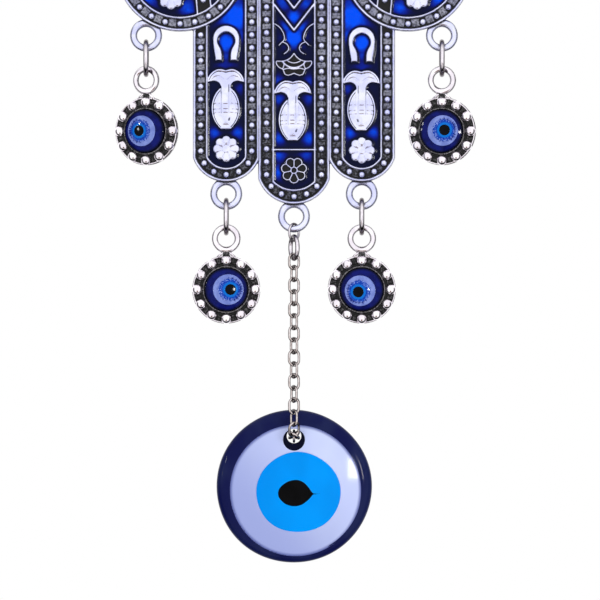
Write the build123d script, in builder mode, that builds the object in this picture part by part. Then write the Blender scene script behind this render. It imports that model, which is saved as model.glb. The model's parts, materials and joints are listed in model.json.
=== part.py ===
from build123d import *
import os
from math import asin, atan2, cos, degrees, hypot, pi, radians, sin, sqrt

os.makedirs("parts", exist_ok=True)

# A hamsa hand wall ornament, hung with its fingers down. Sizes are in millimetres and angles in degrees.
# X is across the hand, minus Y is the front and Z is up. The origin is the centre of the hanging eye.
# A drop is a depth below the origin, and a lift is a height above a fingertip.

# Plate and relief
back_depth = 1.0
plate_thickness = 1.3
rim_height = 0.7
rim_width = 0.56
line_width = 0.46
fine_line_width = 0.34
enamel_depth = 0.3
motif_height = 0.6
bead_radius = 0.58
bead_sink = 0.1
shared_rim_share = 0.5

# Hanging eye and the five lower loops
eye_bore_radius = 2.0
eye_wall = 1.5
eye_thickness = 2.0
loop_wire = 1.4
loop_radius = 2.5
loop_drop = 2.4

# Middle finger
middle_half_width = 7.17
middle_tip_drop = 83.9
middle_end_rise = 5.1
middle_panel_half_width = 4.38
middle_panel_lift = 2.6
middle_panel_rise = 1.9
finger_bead_pitch = 2.58

# Side fingers
side_half_width = 6.66
side_tip_drop = 79.4
side_end_rise = 4.8
side_panel_half_width = 4.1
side_panel_lift = 2.41
side_panel_rise = 2.5

# Thumb lobes
lobe_radius = 12.95
lobe_ring_radius = 10.2
lobe_reach = 22.8
lobe_drop = 36.35
lobe_bead_count = 24
lobe_loop_turn = 26.2
lobe_daisy_radius = 2.5
leaf_bead_gap = 1.15
leaf_bead_pitch = 2.7

# Leaf panel in a lobe, towards the middle and up, as shares of the lobe radius
leaf_inner_shares = ((0.255, -0.93), (0.147, -0.077), (-0.046, 0.432))
leaf_outer_shares = ((-0.734, -0.811), (-0.432, -0.031), (-0.046, 0.432))
lobe_daisy_shares = (-0.14, -0.468)

# Palm medallion
palm_drop = 18.7
palm_radius = 15.8
palm_ring_radius = 13.05
palm_bead_count = 30
palm_petal_count = 8
palm_petal_length = 4.9
palm_petal_half_width = 1.35
palm_petal_gap = 0.6
palm_dot_radius = 0.55
bezel_radius = 6.6
bezel_wall = 0.85
bezel_height = 1.4
palm_eye_dome = 1.5
shoulder_radius = 12.0
shoulder_boss_radius = 1.0
shoulder_boss_share = 0.42
strip_top_share = 0.6

# Motifs of the middle finger
chevron_lift = 34.86
chevron_pitch = 4.36
chevron_rise = 5.54
chevron_count = 3
lotus_lift = 30.66
lotus_width = 7.2
lotus_height = 4.85
middle_fish_lift = 12.7
middle_bar_lift = 10.94
middle_daisy_lift = 6.82
middle_daisy_radius = 2.62
middle_petal_count = 7

# Motifs of the side fingers
horseshoe_lift = 24.06
horseshoe_half_width = 2.73
horseshoe_height = 7.26
horseshoe_band = 0.95
horseshoe_gap = 1.72
horseshoe_foot_share = 0.84
horseshoe_waist_share = 0.97
horseshoe_heel_share = 0.3
side_fish_lift = 10.4
side_daisy_lift = 6.5
side_daisy_radius = 2.75
side_petal_count = 8

# The fish, head down
fish_length = 11.9
fish_half_width = 2.98
fish_tail_half_width = 3.7
fish_tail_length = 3.1
fish_neck_half_width = 0.95
fish_mouth_half_width = 0.97

# Shares of the fish: width over the tail's, then height over the tail's, from the top down
fish_tail_shares = ((0.0, -0.1), (0.5, 0.0), (1.0, -0.64), (0.7, -0.56), (0.42, -0.62))

# Shares of the lotus: across over half its width, down over its height
lotus_shares = ((0, 0), (0.36, -0.32), (1.0, -0.38), (0.86, -0.63), (0.63, -0.8), (0.53, -0.95), (0, -0.93))
lotus_smile_shares = ((0.4, 0.56), (0.66, 0.68))

# Shares of the two leaf lines: across over the panel's half width, down over the lotus height
leaf_line_shares = (
    ((0.98, 1.1), (0.56, 0.62), (0.47, 0.3), (0.72, 0.12)),
    ((0.56, 0.28), (0.3, 0.2), (0.25, 0.02), (0.5, -0.14)),
)

# Jump rings
ring_wire = 1.0
ring_radius = 3.3
hang_gap = 0.08
thin_wire = 0.5
thin_radius = 1.7
thick_wire = 0.9
thick_radius = 2.25
thick_gap = 0.2
thin_turn = 34.0
thick_turn = -18.0

# Charms
charm_plate_radius = 6.45
charm_plate_thickness = 0.9
charm_half_depth = 0.9
charm_ball_radius = 1.09
charm_ball_ring = 5.64
charm_ball_count = 12
charm_cup_radius = 4.8
charm_cup_height = 1.5
charm_loop_wire = 1.2
charm_loop_radius = 2.27
charm_drop = 10.2
charm_neck_width = 2.2
charm_turns = {"left_outer": -24.0, "left_inner": 0.0, "right_inner": 0.0, "right_outer": -12.0}

# The eye cabochons: radii of the colours and the dome
cabochon_radius = 4.3
cabochon_edge = 0.9
cabochon_dome = 0.75
cabochon_layer = 0.5
cabochon_white_radius = 3.1
cabochon_iris_radius = 2.4
cabochon_pupil_radius = 1.04
seat_gap = 0.04

# Cable chain
chain_wire = 0.5
chain_link_length = 3.525
chain_link_width = 2.7
chain_pair_count = 15
chain_gap = 0.1
chain_bend_gap = 0.13
chain_seat_gap = 0.28
chain_top_gap = 0.72
chain_roll = -30.0
chain_roll_swing = 3.0
chain_last_lean = 30.0
chain_entry_lean = 80.0
chain_hole_lift = 0.7

# Glass disc
disc_radius = 15.4
disc_half_thickness = 2.6
disc_rim_radius = 1.9
disc_rim_thickness = 3.6
disc_hole_radius = 2.18
disc_hole_rise = 9.36
disc_back_hole_radius = 1.45
disc_web_depth = 1.0
disc_layer = 1.1
disc_white_radius = 13.1
disc_white_right = 0.32
disc_white_down = 0.8
disc_iris_radius = 8.4
disc_iris_right = 0.86
disc_iris_down = 1.08
disc_iris_layer = 0.8
disc_pupil_half_width = 3.3
disc_pupil_half_height = 2.6
disc_pupil_point = 0.9
disc_pupil_right = 0.2
disc_pupil_down = 1.28
disc_pupil_layer = 0.5

# One overrun serves all cuts
overrun = 1.0

# Sizes worked out from the ones above
floor_front = plate_thickness - back_depth
side_centre = middle_half_width + side_half_width - rim_width * shared_rim_share
lobe_bead_ring = (lobe_radius - rim_width + lobe_ring_radius + line_width / 2) / 2
palm_bead_ring = (palm_radius - rim_width + palm_ring_radius + line_width / 2) / 2
palm_eye_radius = bezel_radius - bezel_wall - seat_gap
link_half = (chain_link_length - chain_wire) / 2
link_bow = (chain_link_width - chain_wire) / 2


def front(depth):
    """The sketch plane at a depth in front of the origin."""
    return Plane.XZ.offset(depth)


def at_front(x, z, depth=0.0):
    """A point given across, up and in front of the origin plane."""
    return Vector(x, -depth, z)


def tip_face(centre, half_width, drop, rise, top_drop):
    """A finger's outline: straight sides and one arc across the tip."""
    with BuildSketch() as face:
        with BuildLine():
            left = Line((centre - half_width, -top_drop), (centre - half_width, rise - drop))
            tip = ThreePointArc(left @ 1, (centre, -drop), (centre + half_width, rise - drop))
            right = Line(tip @ 1, (centre + half_width, -top_drop))
            Line(right @ 1, left @ 0)
        make_face()
    return face.sketch


def disc_face(x, z, radius):
    """A round face."""
    with BuildSketch() as face:
        with Locations((x, z)):
            Circle(radius)
    return face.sketch


def tip_bead_places(centre, half_width, drop, rise, top_drop):
    """Bead places along a fingertip's channel, from the middle of the tip up both sides."""
    arc_radius = (half_width**2 + rise**2) / (2 * rise)
    arc_angle = asin(half_width / arc_radius)
    reach = arc_radius * arc_angle + drop - rise - top_drop
    places = []
    for number in range(-int(reach / finger_bead_pitch), int(reach / finger_bead_pitch) + 1):
        along = abs(number) * finger_bead_pitch
        hand = 1 if number > 0 else -1
        if along < arc_radius * arc_angle:
            angle = along / arc_radius
            places.append((centre + hand * arc_radius * sin(angle), arc_radius * (1 - cos(angle)) - drop))
        else:
            places.append((centre + hand * half_width, rise - drop + along - arc_radius * arc_angle))
    return places


def arc_through(first, middle, last):
    """The centre and radius of the circle through three points."""
    (ax, ay), (bx, by), (cx, cy) = first, middle, last
    turn = 2 * (ax * (by - cy) + bx * (cy - ay) + cx * (ay - by))
    a, b, c = ax**2 + ay**2, bx**2 + by**2, cx**2 + cy**2
    x = (a * (by - cy) + b * (cy - ay) + c * (ay - by)) / turn
    y = (a * (cx - bx) + b * (ax - cx) + c * (bx - ax)) / turn
    return (x, y), hypot(ax - x, ay - y)


def arc_bead_places(first, middle, last, side_gap, pitch):
    """Bead places beside an arc, at a distance outside it."""
    (x, y), radius = arc_through(first, middle, last)
    radius += side_gap
    start = atan2(first[1] - y, first[0] - x)
    sweep = (atan2(last[1] - y, last[0] - x) - start + pi) % (2 * pi) - pi
    count = int(abs(sweep) * radius / pitch)
    angles = [start + sweep * number / count for number in range(count + 1)]
    return [(x + radius * cos(angle), y + radius * sin(angle)) for angle in angles]


def fish_face(x, mouth_z):
    """A fish with its head down: a two-humped tail, a narrow neck and an oval body with a flat mouth."""
    top = mouth_z + fish_length
    tail = [(x + a * fish_tail_half_width, top + b * fish_tail_length) for a, b in fish_tail_shares]
    neck = (x + fish_neck_half_width, top - fish_tail_length)
    body_z = (neck[1] + mouth_z) / 2
    with BuildSketch() as face:
        with BuildLine():
            ThreePointArc(tail[0], tail[1], tail[2])
            ThreePointArc(tail[2], tail[3], tail[4])
            Line(tail[4], neck)
            ThreePointArc(neck, (x + fish_half_width, body_z), (x + fish_mouth_half_width, mouth_z))
            Line((x + fish_mouth_half_width, mouth_z), (x, mouth_z))
            Line((x, mouth_z), tail[0])
        make_face()
        mirror(about=Plane.YZ.offset(x))
    return face.sketch


def horseshoe_face(x, foot_z):
    """A horseshoe with its open end down."""
    rise = horseshoe_height - horseshoe_half_width
    inside = horseshoe_half_width - horseshoe_band
    foot = horseshoe_half_width * horseshoe_foot_share
    waist = horseshoe_half_width * horseshoe_waist_share
    heel = rise * horseshoe_heel_share
    top = foot_z + horseshoe_height
    with BuildSketch() as face:
        with BuildLine():
            RadiusArc((x, top), (x + horseshoe_half_width, foot_z + rise), horseshoe_half_width)
            ThreePointArc(
                (x + horseshoe_half_width, foot_z + rise), (x + waist, foot_z + rise / 2), (x + foot, foot_z)
            )
            Polyline((x + foot, foot_z), (x + horseshoe_gap / 2, foot_z), (x + horseshoe_gap / 2, foot_z + heel))
            ThreePointArc(
                (x + horseshoe_gap / 2, foot_z + heel),
                (x + (horseshoe_gap / 2 + 2 * inside) / 3, foot_z + (heel + rise) / 2),
                (x + inside, foot_z + rise),
            )
            RadiusArc((x + inside, foot_z + rise), (x, foot_z + rise + inside), -inside)
            Line((x, foot_z + rise + inside), (x, top))
        make_face()
        mirror(about=Plane.YZ.offset(x))
    return face.sketch


def daisy_face(x, z, radius, petals):
    """A solid rosette of round petals about a round heart."""
    petal = radius * sin(pi / petals) / (1 + sin(pi / petals))
    with BuildSketch() as face:
        with Locations((x, z)):
            Circle(radius - petal)
            with PolarLocations(radius - petal, petals, start_angle=-90):
                Circle(petal)
    return face.sketch


def daisy_line_face(x, z, radius, petals):
    """A daisy drawn in lines: round petals about a ring, with open cells."""
    petal = radius * sin(pi / petals) / (1 + sin(pi / petals))
    heart = radius - 2 * petal
    with BuildSketch() as face:
        add(daisy_face(x, z, radius, petals))
        with Locations((x, z)):
            with PolarLocations(radius - petal, petals, start_angle=-90):
                Circle(petal - fine_line_width, mode=Mode.SUBTRACT)
            Circle(heart + fine_line_width / 2)
            Circle(heart - fine_line_width / 2, mode=Mode.SUBTRACT)
    return face.sketch


def lotus_face(x, tip_z, inset):
    """The outline of the lotus, drawn in by an inset all round."""
    half, height = lotus_width / 2 - inset, lotus_height - 2 * inset
    right = [(x + a * half, tip_z - inset + b * height) for a, b in lotus_shares]
    with BuildSketch() as face:
        with BuildLine():
            Polyline(*right[0:3])
            ThreePointArc(right[2], right[3], right[4])
            ThreePointArc(right[4], right[5], right[6])
            Line(right[6], right[0])
        make_face()
        mirror(about=Plane.YZ.offset(x))
    return face.sketch


def lotus_line_face(x, tip_z):
    """The lotus drawn in lines: its outline and two smiling arcs across it."""
    with BuildSketch() as face:
        add(lotus_face(x, tip_z, 0))
        add(lotus_face(x, tip_z, fine_line_width), mode=Mode.SUBTRACT)
        for reach, dip in lotus_smile_shares:
            ends = reach * lotus_width / 2
            with BuildLine():
                ThreePointArc(
                    (x - ends, tip_z - lotus_shares[1][1] * -lotus_height),
                    (x, tip_z - dip * lotus_height),
                    (x + ends, tip_z - lotus_shares[1][1] * -lotus_height),
                )
            trace(line_width=fine_line_width)
    return face.sketch


def leaf_lines_face(x, tip_z):
    """The four curling leaf lines above the lotus."""
    half = middle_panel_half_width - line_width
    with BuildSketch() as face:
        for points in leaf_line_shares:
            for hand in (-1, 1):
                places = [(x + hand * a * half, tip_z + b * lotus_height) for a, b in points]
                with BuildLine():
                    Spline(*places)
                trace(line_width=fine_line_width)
    return face.sketch


def chevrons_face(x, apex_z):
    """The chevrons that point at the fingertip."""
    half = middle_panel_half_width - line_width / 2
    with BuildSketch() as face:
        for number in range(chevron_count):
            foot = apex_z + number * chevron_pitch
            with BuildLine():
                Polyline((x - half, foot + chevron_rise), (x, foot), (x + half, foot + chevron_rise))
            trace(line_width=line_width)
    return face.sketch


def petal_face(length, half_width):
    """A pointed petal on the X axis, from the origin outwards."""
    with BuildSketch() as face:
        with BuildLine():
            ThreePointArc((0, 0), (length / 2, half_width), (length, 0))
            ThreePointArc((length, 0), (length / 2, -half_width), (0, 0))
        make_face()
    return face.sketch


def leaf_places(side, shares):
    """Points of a lobe's leaf panel: side is -1 for the left lobe and 1 for the right."""
    return [(side * (lobe_reach - a * lobe_radius), b * lobe_radius - lobe_drop) for a, b in shares]


def leaf_face(side):
    """A lobe's leaf panel, run past the lobe at its foot."""
    inner = leaf_places(side, leaf_inner_shares)
    outer = leaf_places(side, leaf_outer_shares)
    foot = -lobe_drop - lobe_radius
    with BuildSketch() as face:
        with BuildLine():
            ThreePointArc(*inner)
            ThreePointArc(*reversed(outer))
            Polyline(outer[0], (outer[0][0], foot), (inner[0][0], foot), inner[0])
        make_face()
    return face.sketch


def grown(face, amount):
    """A face offset outwards."""
    with BuildSketch() as larger:
        add(face)
        offset(amount=amount, kind=Kind.ARC, mode=Mode.REPLACE)
    return larger.sketch


# Faces of the hand, drawn flat across and up
finger_sizes = {
    "middle": (0.0, middle_half_width, middle_tip_drop, middle_end_rise),
    "left": (-side_centre, side_half_width, side_tip_drop, side_end_rise),
    "right": (side_centre, side_half_width, side_tip_drop, side_end_rise),
}
panel_sizes = {
    "middle": (0.0, middle_panel_half_width, middle_tip_drop - middle_panel_lift, middle_panel_rise),
    "left": (-side_centre, side_panel_half_width, side_tip_drop - side_panel_lift, side_panel_rise),
    "right": (side_centre, side_panel_half_width, side_tip_drop - side_panel_lift, side_panel_rise),
}
sides = {"left": -1, "right": 1}
lobe_discs = {name: disc_face(side * lobe_reach, -lobe_drop, lobe_radius) for name, side in sides.items()}
palm_disc = disc_face(0, -palm_drop, palm_radius)


def shoulder_points():
    """The concave shoulder on the right: its ends on the palm and the lobe, and the middle of its arc."""
    reach_palm, reach_lobe = palm_radius + shoulder_radius, lobe_radius + shoulder_radius
    rise = lobe_drop - palm_drop
    span = hypot(lobe_reach, rise)
    along = (reach_palm**2 - reach_lobe**2 + span**2) / (2 * span)
    across = sqrt(reach_palm**2 - along**2)
    x = (along * lobe_reach + across * rise) / span
    z = (across * lobe_reach - along * rise) / span - palm_drop
    on_palm = (x * palm_radius / reach_palm, (z + palm_drop) * palm_radius / reach_palm - palm_drop)
    on_lobe = (
        lobe_reach + (x - lobe_reach) * lobe_radius / reach_lobe,
        (z + lobe_drop) * lobe_radius / reach_lobe - lobe_drop,
    )
    middle = ((on_palm[0] + on_lobe[0]) / 2 - x, (on_palm[1] + on_lobe[1]) / 2 - z)
    share = shoulder_radius / hypot(*middle)
    return on_palm, (x + middle[0] * share, z + middle[1] * share), on_lobe


on_palm, shoulder_middle, on_lobe = shoulder_points()
with BuildSketch() as shoulders:
    with BuildLine():
        ThreePointArc(on_palm, shoulder_middle, on_lobe)
        Polyline(on_lobe, (lobe_reach, -lobe_drop), (0, -lobe_drop), (0, -palm_drop), on_palm)
    make_face()
    mirror(about=Plane.YZ)

# The small boss in each shoulder stands between the palm, the lobe and the shoulder's rim
meet_share = palm_radius / (palm_radius + lobe_radius)
meet = (lobe_reach * meet_share, (palm_drop - lobe_drop) * meet_share - palm_drop)
shoulder_boss = (
    shoulder_middle[0] + (meet[0] - shoulder_middle[0]) * shoulder_boss_share,
    shoulder_middle[1] + (meet[1] - shoulder_middle[1]) * shoulder_boss_share,
)

with BuildSketch() as hand_outline:
    add(shoulders.sketch)
    add(palm_disc)
    for name in sides:
        add(lobe_discs[name])
    for centre, half_width, drop, rise in finger_sizes.values():
        add(tip_face(centre, half_width, drop, rise, lobe_drop))

strip_top = lobe_drop - strip_top_share * lobe_radius
with BuildSketch() as finger_rims:
    for centre, half_width, drop, rise in finger_sizes.values():
        add(tip_face(centre, half_width, drop, rise, strip_top))
        add(
            tip_face(centre, half_width - rim_width, drop - rim_width, rise, strip_top - overrun),
            mode=Mode.SUBTRACT,
        )
with BuildSketch() as panel_lines:
    for centre, half_width, drop, rise in panel_sizes.values():
        add(tip_face(centre, half_width, drop, rise, strip_top))
        add(
            tip_face(centre, half_width - line_width, drop - line_width, rise, strip_top - overrun),
            mode=Mode.SUBTRACT,
        )
with BuildSketch() as strip_lines:
    add(finger_rims.sketch)
    add(panel_lines.sketch)
    for name in sides:
        add(lobe_discs[name], mode=Mode.SUBTRACT)
    add(palm_disc, mode=Mode.SUBTRACT)

with BuildSketch() as shoulder_rim:
    with BuildLine():
        ThreePointArc(on_palm, shoulder_middle, on_lobe)
    trace(line_width=2 * rim_width)
    mirror(about=Plane.YZ)
    add(shoulders.sketch, mode=Mode.INTERSECT)
    for name in sides:
        add(lobe_discs[name], mode=Mode.SUBTRACT)
    add(palm_disc, mode=Mode.SUBTRACT)

# Relief motifs of each field, and the faces that keep enamel out
motifs = {}
keep_outs = {}
with BuildSketch() as middle_motif:
    add(chevrons_face(0, chevron_lift - middle_tip_drop))
    add(leaf_lines_face(0, lotus_lift - middle_tip_drop))
    add(lotus_line_face(0, lotus_lift - middle_tip_drop))
    add(fish_face(0, middle_fish_lift - middle_tip_drop))
    add(daisy_line_face(0, middle_daisy_lift - middle_tip_drop, middle_daisy_radius, middle_petal_count))
    with Locations((0, middle_bar_lift - middle_tip_drop)):
        Rectangle(2 * middle_panel_half_width - line_width, line_width)
with BuildSketch() as middle_keep_out:
    add(middle_motif.sketch)
    add(lotus_face(0, lotus_lift - middle_tip_drop, 0))
    add(daisy_face(0, middle_daisy_lift - middle_tip_drop, middle_daisy_radius, middle_petal_count))
motifs["middle_finger"] = middle_motif.sketch
keep_outs["middle_finger"] = middle_keep_out.sketch

for name, side in sides.items():
    with BuildSketch() as side_motif:
        add(horseshoe_face(side * side_centre, horseshoe_lift - side_tip_drop))
        add(fish_face(side * side_centre, side_fish_lift - side_tip_drop))
        add(daisy_face(side * side_centre, side_daisy_lift - side_tip_drop, side_daisy_radius, side_petal_count))
    motifs[name + "_finger"] = side_motif.sketch
    keep_outs[name + "_finger"] = side_motif.sketch

    across, up = lobe_daisy_shares
    leaf = leaf_face(side)
    with BuildSketch() as lobe_motif:
        add(grown(leaf, line_width))
        add(leaf, mode=Mode.SUBTRACT)
        add(grown(leaf, 2 * leaf_bead_gap + 2 * line_width))
        add(grown(leaf, 2 * leaf_bead_gap + line_width), mode=Mode.SUBTRACT)
        add(grown(leaf, line_width))
        add(leaf, mode=Mode.SUBTRACT)
        add(disc_face(side * lobe_reach, -lobe_drop, lobe_ring_radius), mode=Mode.INTERSECT)
        add(
            daisy_face(
                side * (lobe_reach - across * lobe_radius),
                up * lobe_radius - lobe_drop,
                lobe_daisy_radius,
                side_petal_count,
            )
        )
    with BuildSketch() as lobe_keep_out:
        add(grown(leaf, 2 * leaf_bead_gap + 2 * line_width))
        add(leaf, mode=Mode.SUBTRACT)
        add(lobe_motif.sketch)
    motifs[name + "_lobe"] = lobe_motif.sketch
    keep_outs[name + "_lobe"] = lobe_keep_out.sketch

petal_reach = palm_ring_radius - line_width / 2 - palm_petal_gap - palm_petal_length
petal = petal_face(palm_petal_length, palm_petal_half_width)
small_petal = petal_face(palm_petal_length - 4 * line_width, palm_petal_half_width - line_width)
with BuildSketch() as palm_motif:
    with Locations((0, -palm_drop)):
        with PolarLocations(petal_reach, palm_petal_count, start_angle=90):
            add(petal)
        with PolarLocations(petal_reach + 2 * line_width, palm_petal_count, start_angle=90):
            add(small_petal, mode=Mode.SUBTRACT)
        with PolarLocations(
            palm_ring_radius - line_width / 2 - palm_petal_gap - 2 * palm_dot_radius,
            palm_petal_count,
            start_angle=90 + 180 / palm_petal_count,
        ):
            Circle(palm_dot_radius)
motifs["palm"] = palm_motif.sketch
keep_outs["palm"] = palm_motif.sketch

# Enamel fields: each is the inside of its line, less the relief that stands in it
fields = {}
for name, (centre, half_width, drop, rise) in panel_sizes.items():
    with BuildSketch() as field:
        field_top = palm_drop if name == "middle" else lobe_drop
        add(tip_face(centre, half_width - line_width, drop - line_width, rise, field_top))
        for lobe in sides:
            add(lobe_discs[lobe], mode=Mode.SUBTRACT)
        add(palm_disc, mode=Mode.SUBTRACT)
        add(keep_outs[name + "_finger"], mode=Mode.SUBTRACT)
    fields[name + "_finger"] = field.sketch
for name, side in sides.items():
    with BuildSketch() as field:
        add(disc_face(side * lobe_reach, -lobe_drop, lobe_ring_radius - line_width / 2))
        add(keep_outs[name + "_lobe"], mode=Mode.SUBTRACT)
    fields[name + "_lobe"] = field.sketch
with BuildSketch() as field:
    add(disc_face(0, -palm_drop, palm_ring_radius - line_width / 2))
    add(disc_face(0, -palm_drop, bezel_radius), mode=Mode.SUBTRACT)
    add(keep_outs["palm"], mode=Mode.SUBTRACT)
fields["palm"] = field.sketch

# Rims of the lobes and the palm
with BuildSketch() as round_rims:
    for side in sides.values():
        with Locations((side * lobe_reach, -lobe_drop)):
            Circle(lobe_radius)
            Circle(lobe_radius - rim_width, mode=Mode.SUBTRACT)
            Circle(lobe_ring_radius + line_width / 2)
            Circle(lobe_ring_radius - line_width / 2, mode=Mode.SUBTRACT)
    with Locations((0, -palm_drop)):
        Circle(palm_radius)
        Circle(palm_radius - rim_width, mode=Mode.SUBTRACT)
        Circle(palm_ring_radius + line_width / 2)
        Circle(palm_ring_radius - line_width / 2, mode=Mode.SUBTRACT)

# Bead places: the finger channels, the lobes, the sides of the leaf panels and the palm
bead_places = []
for name, (centre, half_width, drop, rise) in finger_sizes.items():
    panel_half_width, panel_drop, panel_rise = panel_sizes[name][1:]
    bead_places += [
        place
        for place in tip_bead_places(
            centre,
            (half_width - rim_width + panel_half_width) / 2,
            (drop - rim_width + panel_drop) / 2,
            (rise + panel_rise) / 2,
            strip_top,
        )
        if hypot(abs(place[0]) - lobe_reach, place[1] + lobe_drop) > lobe_radius + bead_radius
        and hypot(place[0], place[1] + palm_drop) > palm_radius + bead_radius
    ]
for side in sides.values():
    for number in range(lobe_bead_count):
        angle = 2 * pi * number / lobe_bead_count - pi / 2
        bead_places.append(
            (side * lobe_reach + lobe_bead_ring * cos(angle), lobe_bead_ring * sin(angle) - lobe_drop)
        )
    for shares in (leaf_inner_shares, leaf_outer_shares):
        bead_places += [
            place
            for place in arc_bead_places(
                *leaf_places(side, shares), leaf_bead_gap + line_width, leaf_bead_pitch
            )
            if hypot(place[0] - side * lobe_reach, place[1] + lobe_drop)
            < lobe_ring_radius - line_width / 2 - bead_radius
        ]
for number in range(palm_bead_count):
    angle = 2 * pi * number / palm_bead_count - pi / 2
    bead_places.append((palm_bead_ring * cos(angle), palm_bead_ring * sin(angle) - palm_drop))

# Places of the lower loops: across, drop of the loop's centre
lobe_loop_radius = lobe_radius + loop_drop
loop_places = {
    "left_outer": (
        -lobe_reach - lobe_loop_radius * sin(radians(lobe_loop_turn)),
        lobe_drop + lobe_loop_radius * cos(radians(lobe_loop_turn)),
    ),
    "left_inner": (-side_centre, side_tip_drop + loop_drop),
    "middle": (0.0, middle_tip_drop + loop_drop),
    "right_inner": (side_centre, side_tip_drop + loop_drop),
    "right_outer": (
        lobe_reach + lobe_loop_radius * sin(radians(lobe_loop_turn)),
        lobe_drop + lobe_loop_radius * cos(radians(lobe_loop_turn)),
    ),
}

# The casting
with BuildPart() as hand_casting:
    with BuildSketch(front(-back_depth)):
        add(hand_outline.sketch)
    extrude(amount=plate_thickness)
    with BuildSketch(front(floor_front)):
        add(strip_lines.sketch)
        add(shoulder_rim.sketch)
        add(round_rims.sketch)
    extrude(amount=rim_height)
    for motif in motifs.values():
        with BuildSketch(front(floor_front)):
            add(motif)
        extrude(amount=motif_height)
    with BuildSketch(front(floor_front)):
        with Locations((0, -palm_drop)):
            Circle(bezel_radius)
            Circle(bezel_radius - bezel_wall, mode=Mode.SUBTRACT)
    extrude(amount=bezel_height)
    with Locations(*[at_front(x, z, floor_front + bead_sink) for x, z in bead_places]):
        Sphere(bead_radius)
    with Locations(*[at_front(hand * shoulder_boss[0], shoulder_boss[1], floor_front) for hand in (-1, 1)]):
        Sphere(shoulder_boss_radius)
    with Locations(*[Location(at_front(x, -drop), (90, 0, 0)) for x, drop in loop_places.values()]):
        Torus(loop_radius, loop_wire / 2)
    with BuildSketch(front(-back_depth)):
        Circle(eye_bore_radius + eye_wall)
    extrude(amount=eye_thickness)
    with BuildSketch(front(-back_depth - overrun)):
        Circle(eye_bore_radius)
    extrude(amount=eye_thickness + 2 * overrun, mode=Mode.SUBTRACT)
hand_casting.part.label = "hand_casting"
export_step(hand_casting.part, "parts/hand_casting.step")

# The enamel fills
for name, face in fields.items():
    with BuildPart() as enamel:
        with BuildSketch(front(floor_front)):
            add(face)
        extrude(amount=enamel_depth)
    enamel.part.label = name + "_enamel"
    export_step(enamel.part, f"parts/{name}_enamel.step")


def eye_layer(place, radius, edge, dome, layer, outer, inner):
    """One colour of a domed eye: the part of the dome between two radii, down to the layer's depth."""
    ball = (radius**2 + dome**2) / (2 * dome)
    with BuildPart() as piece:
        with BuildSketch(Plane.XY):
            with BuildLine():
                Line((0, 0), (radius, 0))
                Line((radius, 0), (radius, edge))
                ThreePointArc(
                    (radius, edge),
                    (ball * sin(asin(radius / ball) / 2), edge + dome - ball * (1 - cos(asin(radius / ball) / 2))),
                    (0, edge + dome),
                )
                Line((0, edge + dome), (0, 0))
            make_face()
        revolve(axis=Axis.Y)
        if outer < radius:
            with BuildSketch(Plane.XZ.offset(-edge - 2 * dome)):
                Circle(outer)
            extrude(amount=edge + 2 * dome - (edge - layer), mode=Mode.INTERSECT)
        if inner:
            with BuildSketch(Plane.XZ.offset(-edge - 2 * dome)):
                Circle(inner)
            extrude(amount=edge + 2 * dome - (edge - layer), mode=Mode.SUBTRACT)
    return piece.part.moved(place * Location((0, 0, 0), (0, 0, 180)))


def eye_layers(prefix, place, radius, edge, dome):
    """Writes the four colours of a domed eye, with the colour radii in the cabochon's proportions."""
    scale = radius / cabochon_radius
    white, iris, pupil = (
        scale * value for value in (cabochon_white_radius, cabochon_iris_radius, cabochon_pupil_radius)
    )
    rings = {"base": (radius, white), "white": (white, iris), "iris": (iris, pupil), "pupil": (pupil, 0)}
    for colour, (outer, inner) in rings.items():
        layer = eye_layer(place, radius, edge, dome, cabochon_layer, outer, inner)
        layer.label = f"{prefix}_{colour}"
        export_step(layer, f"parts/{prefix}_{colour}.step")


eye_layers(
    "palm_eye",
    Location(at_front(0, -palm_drop, floor_front)),
    palm_eye_radius,
    bezel_height,
    palm_eye_dome,
)

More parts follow.
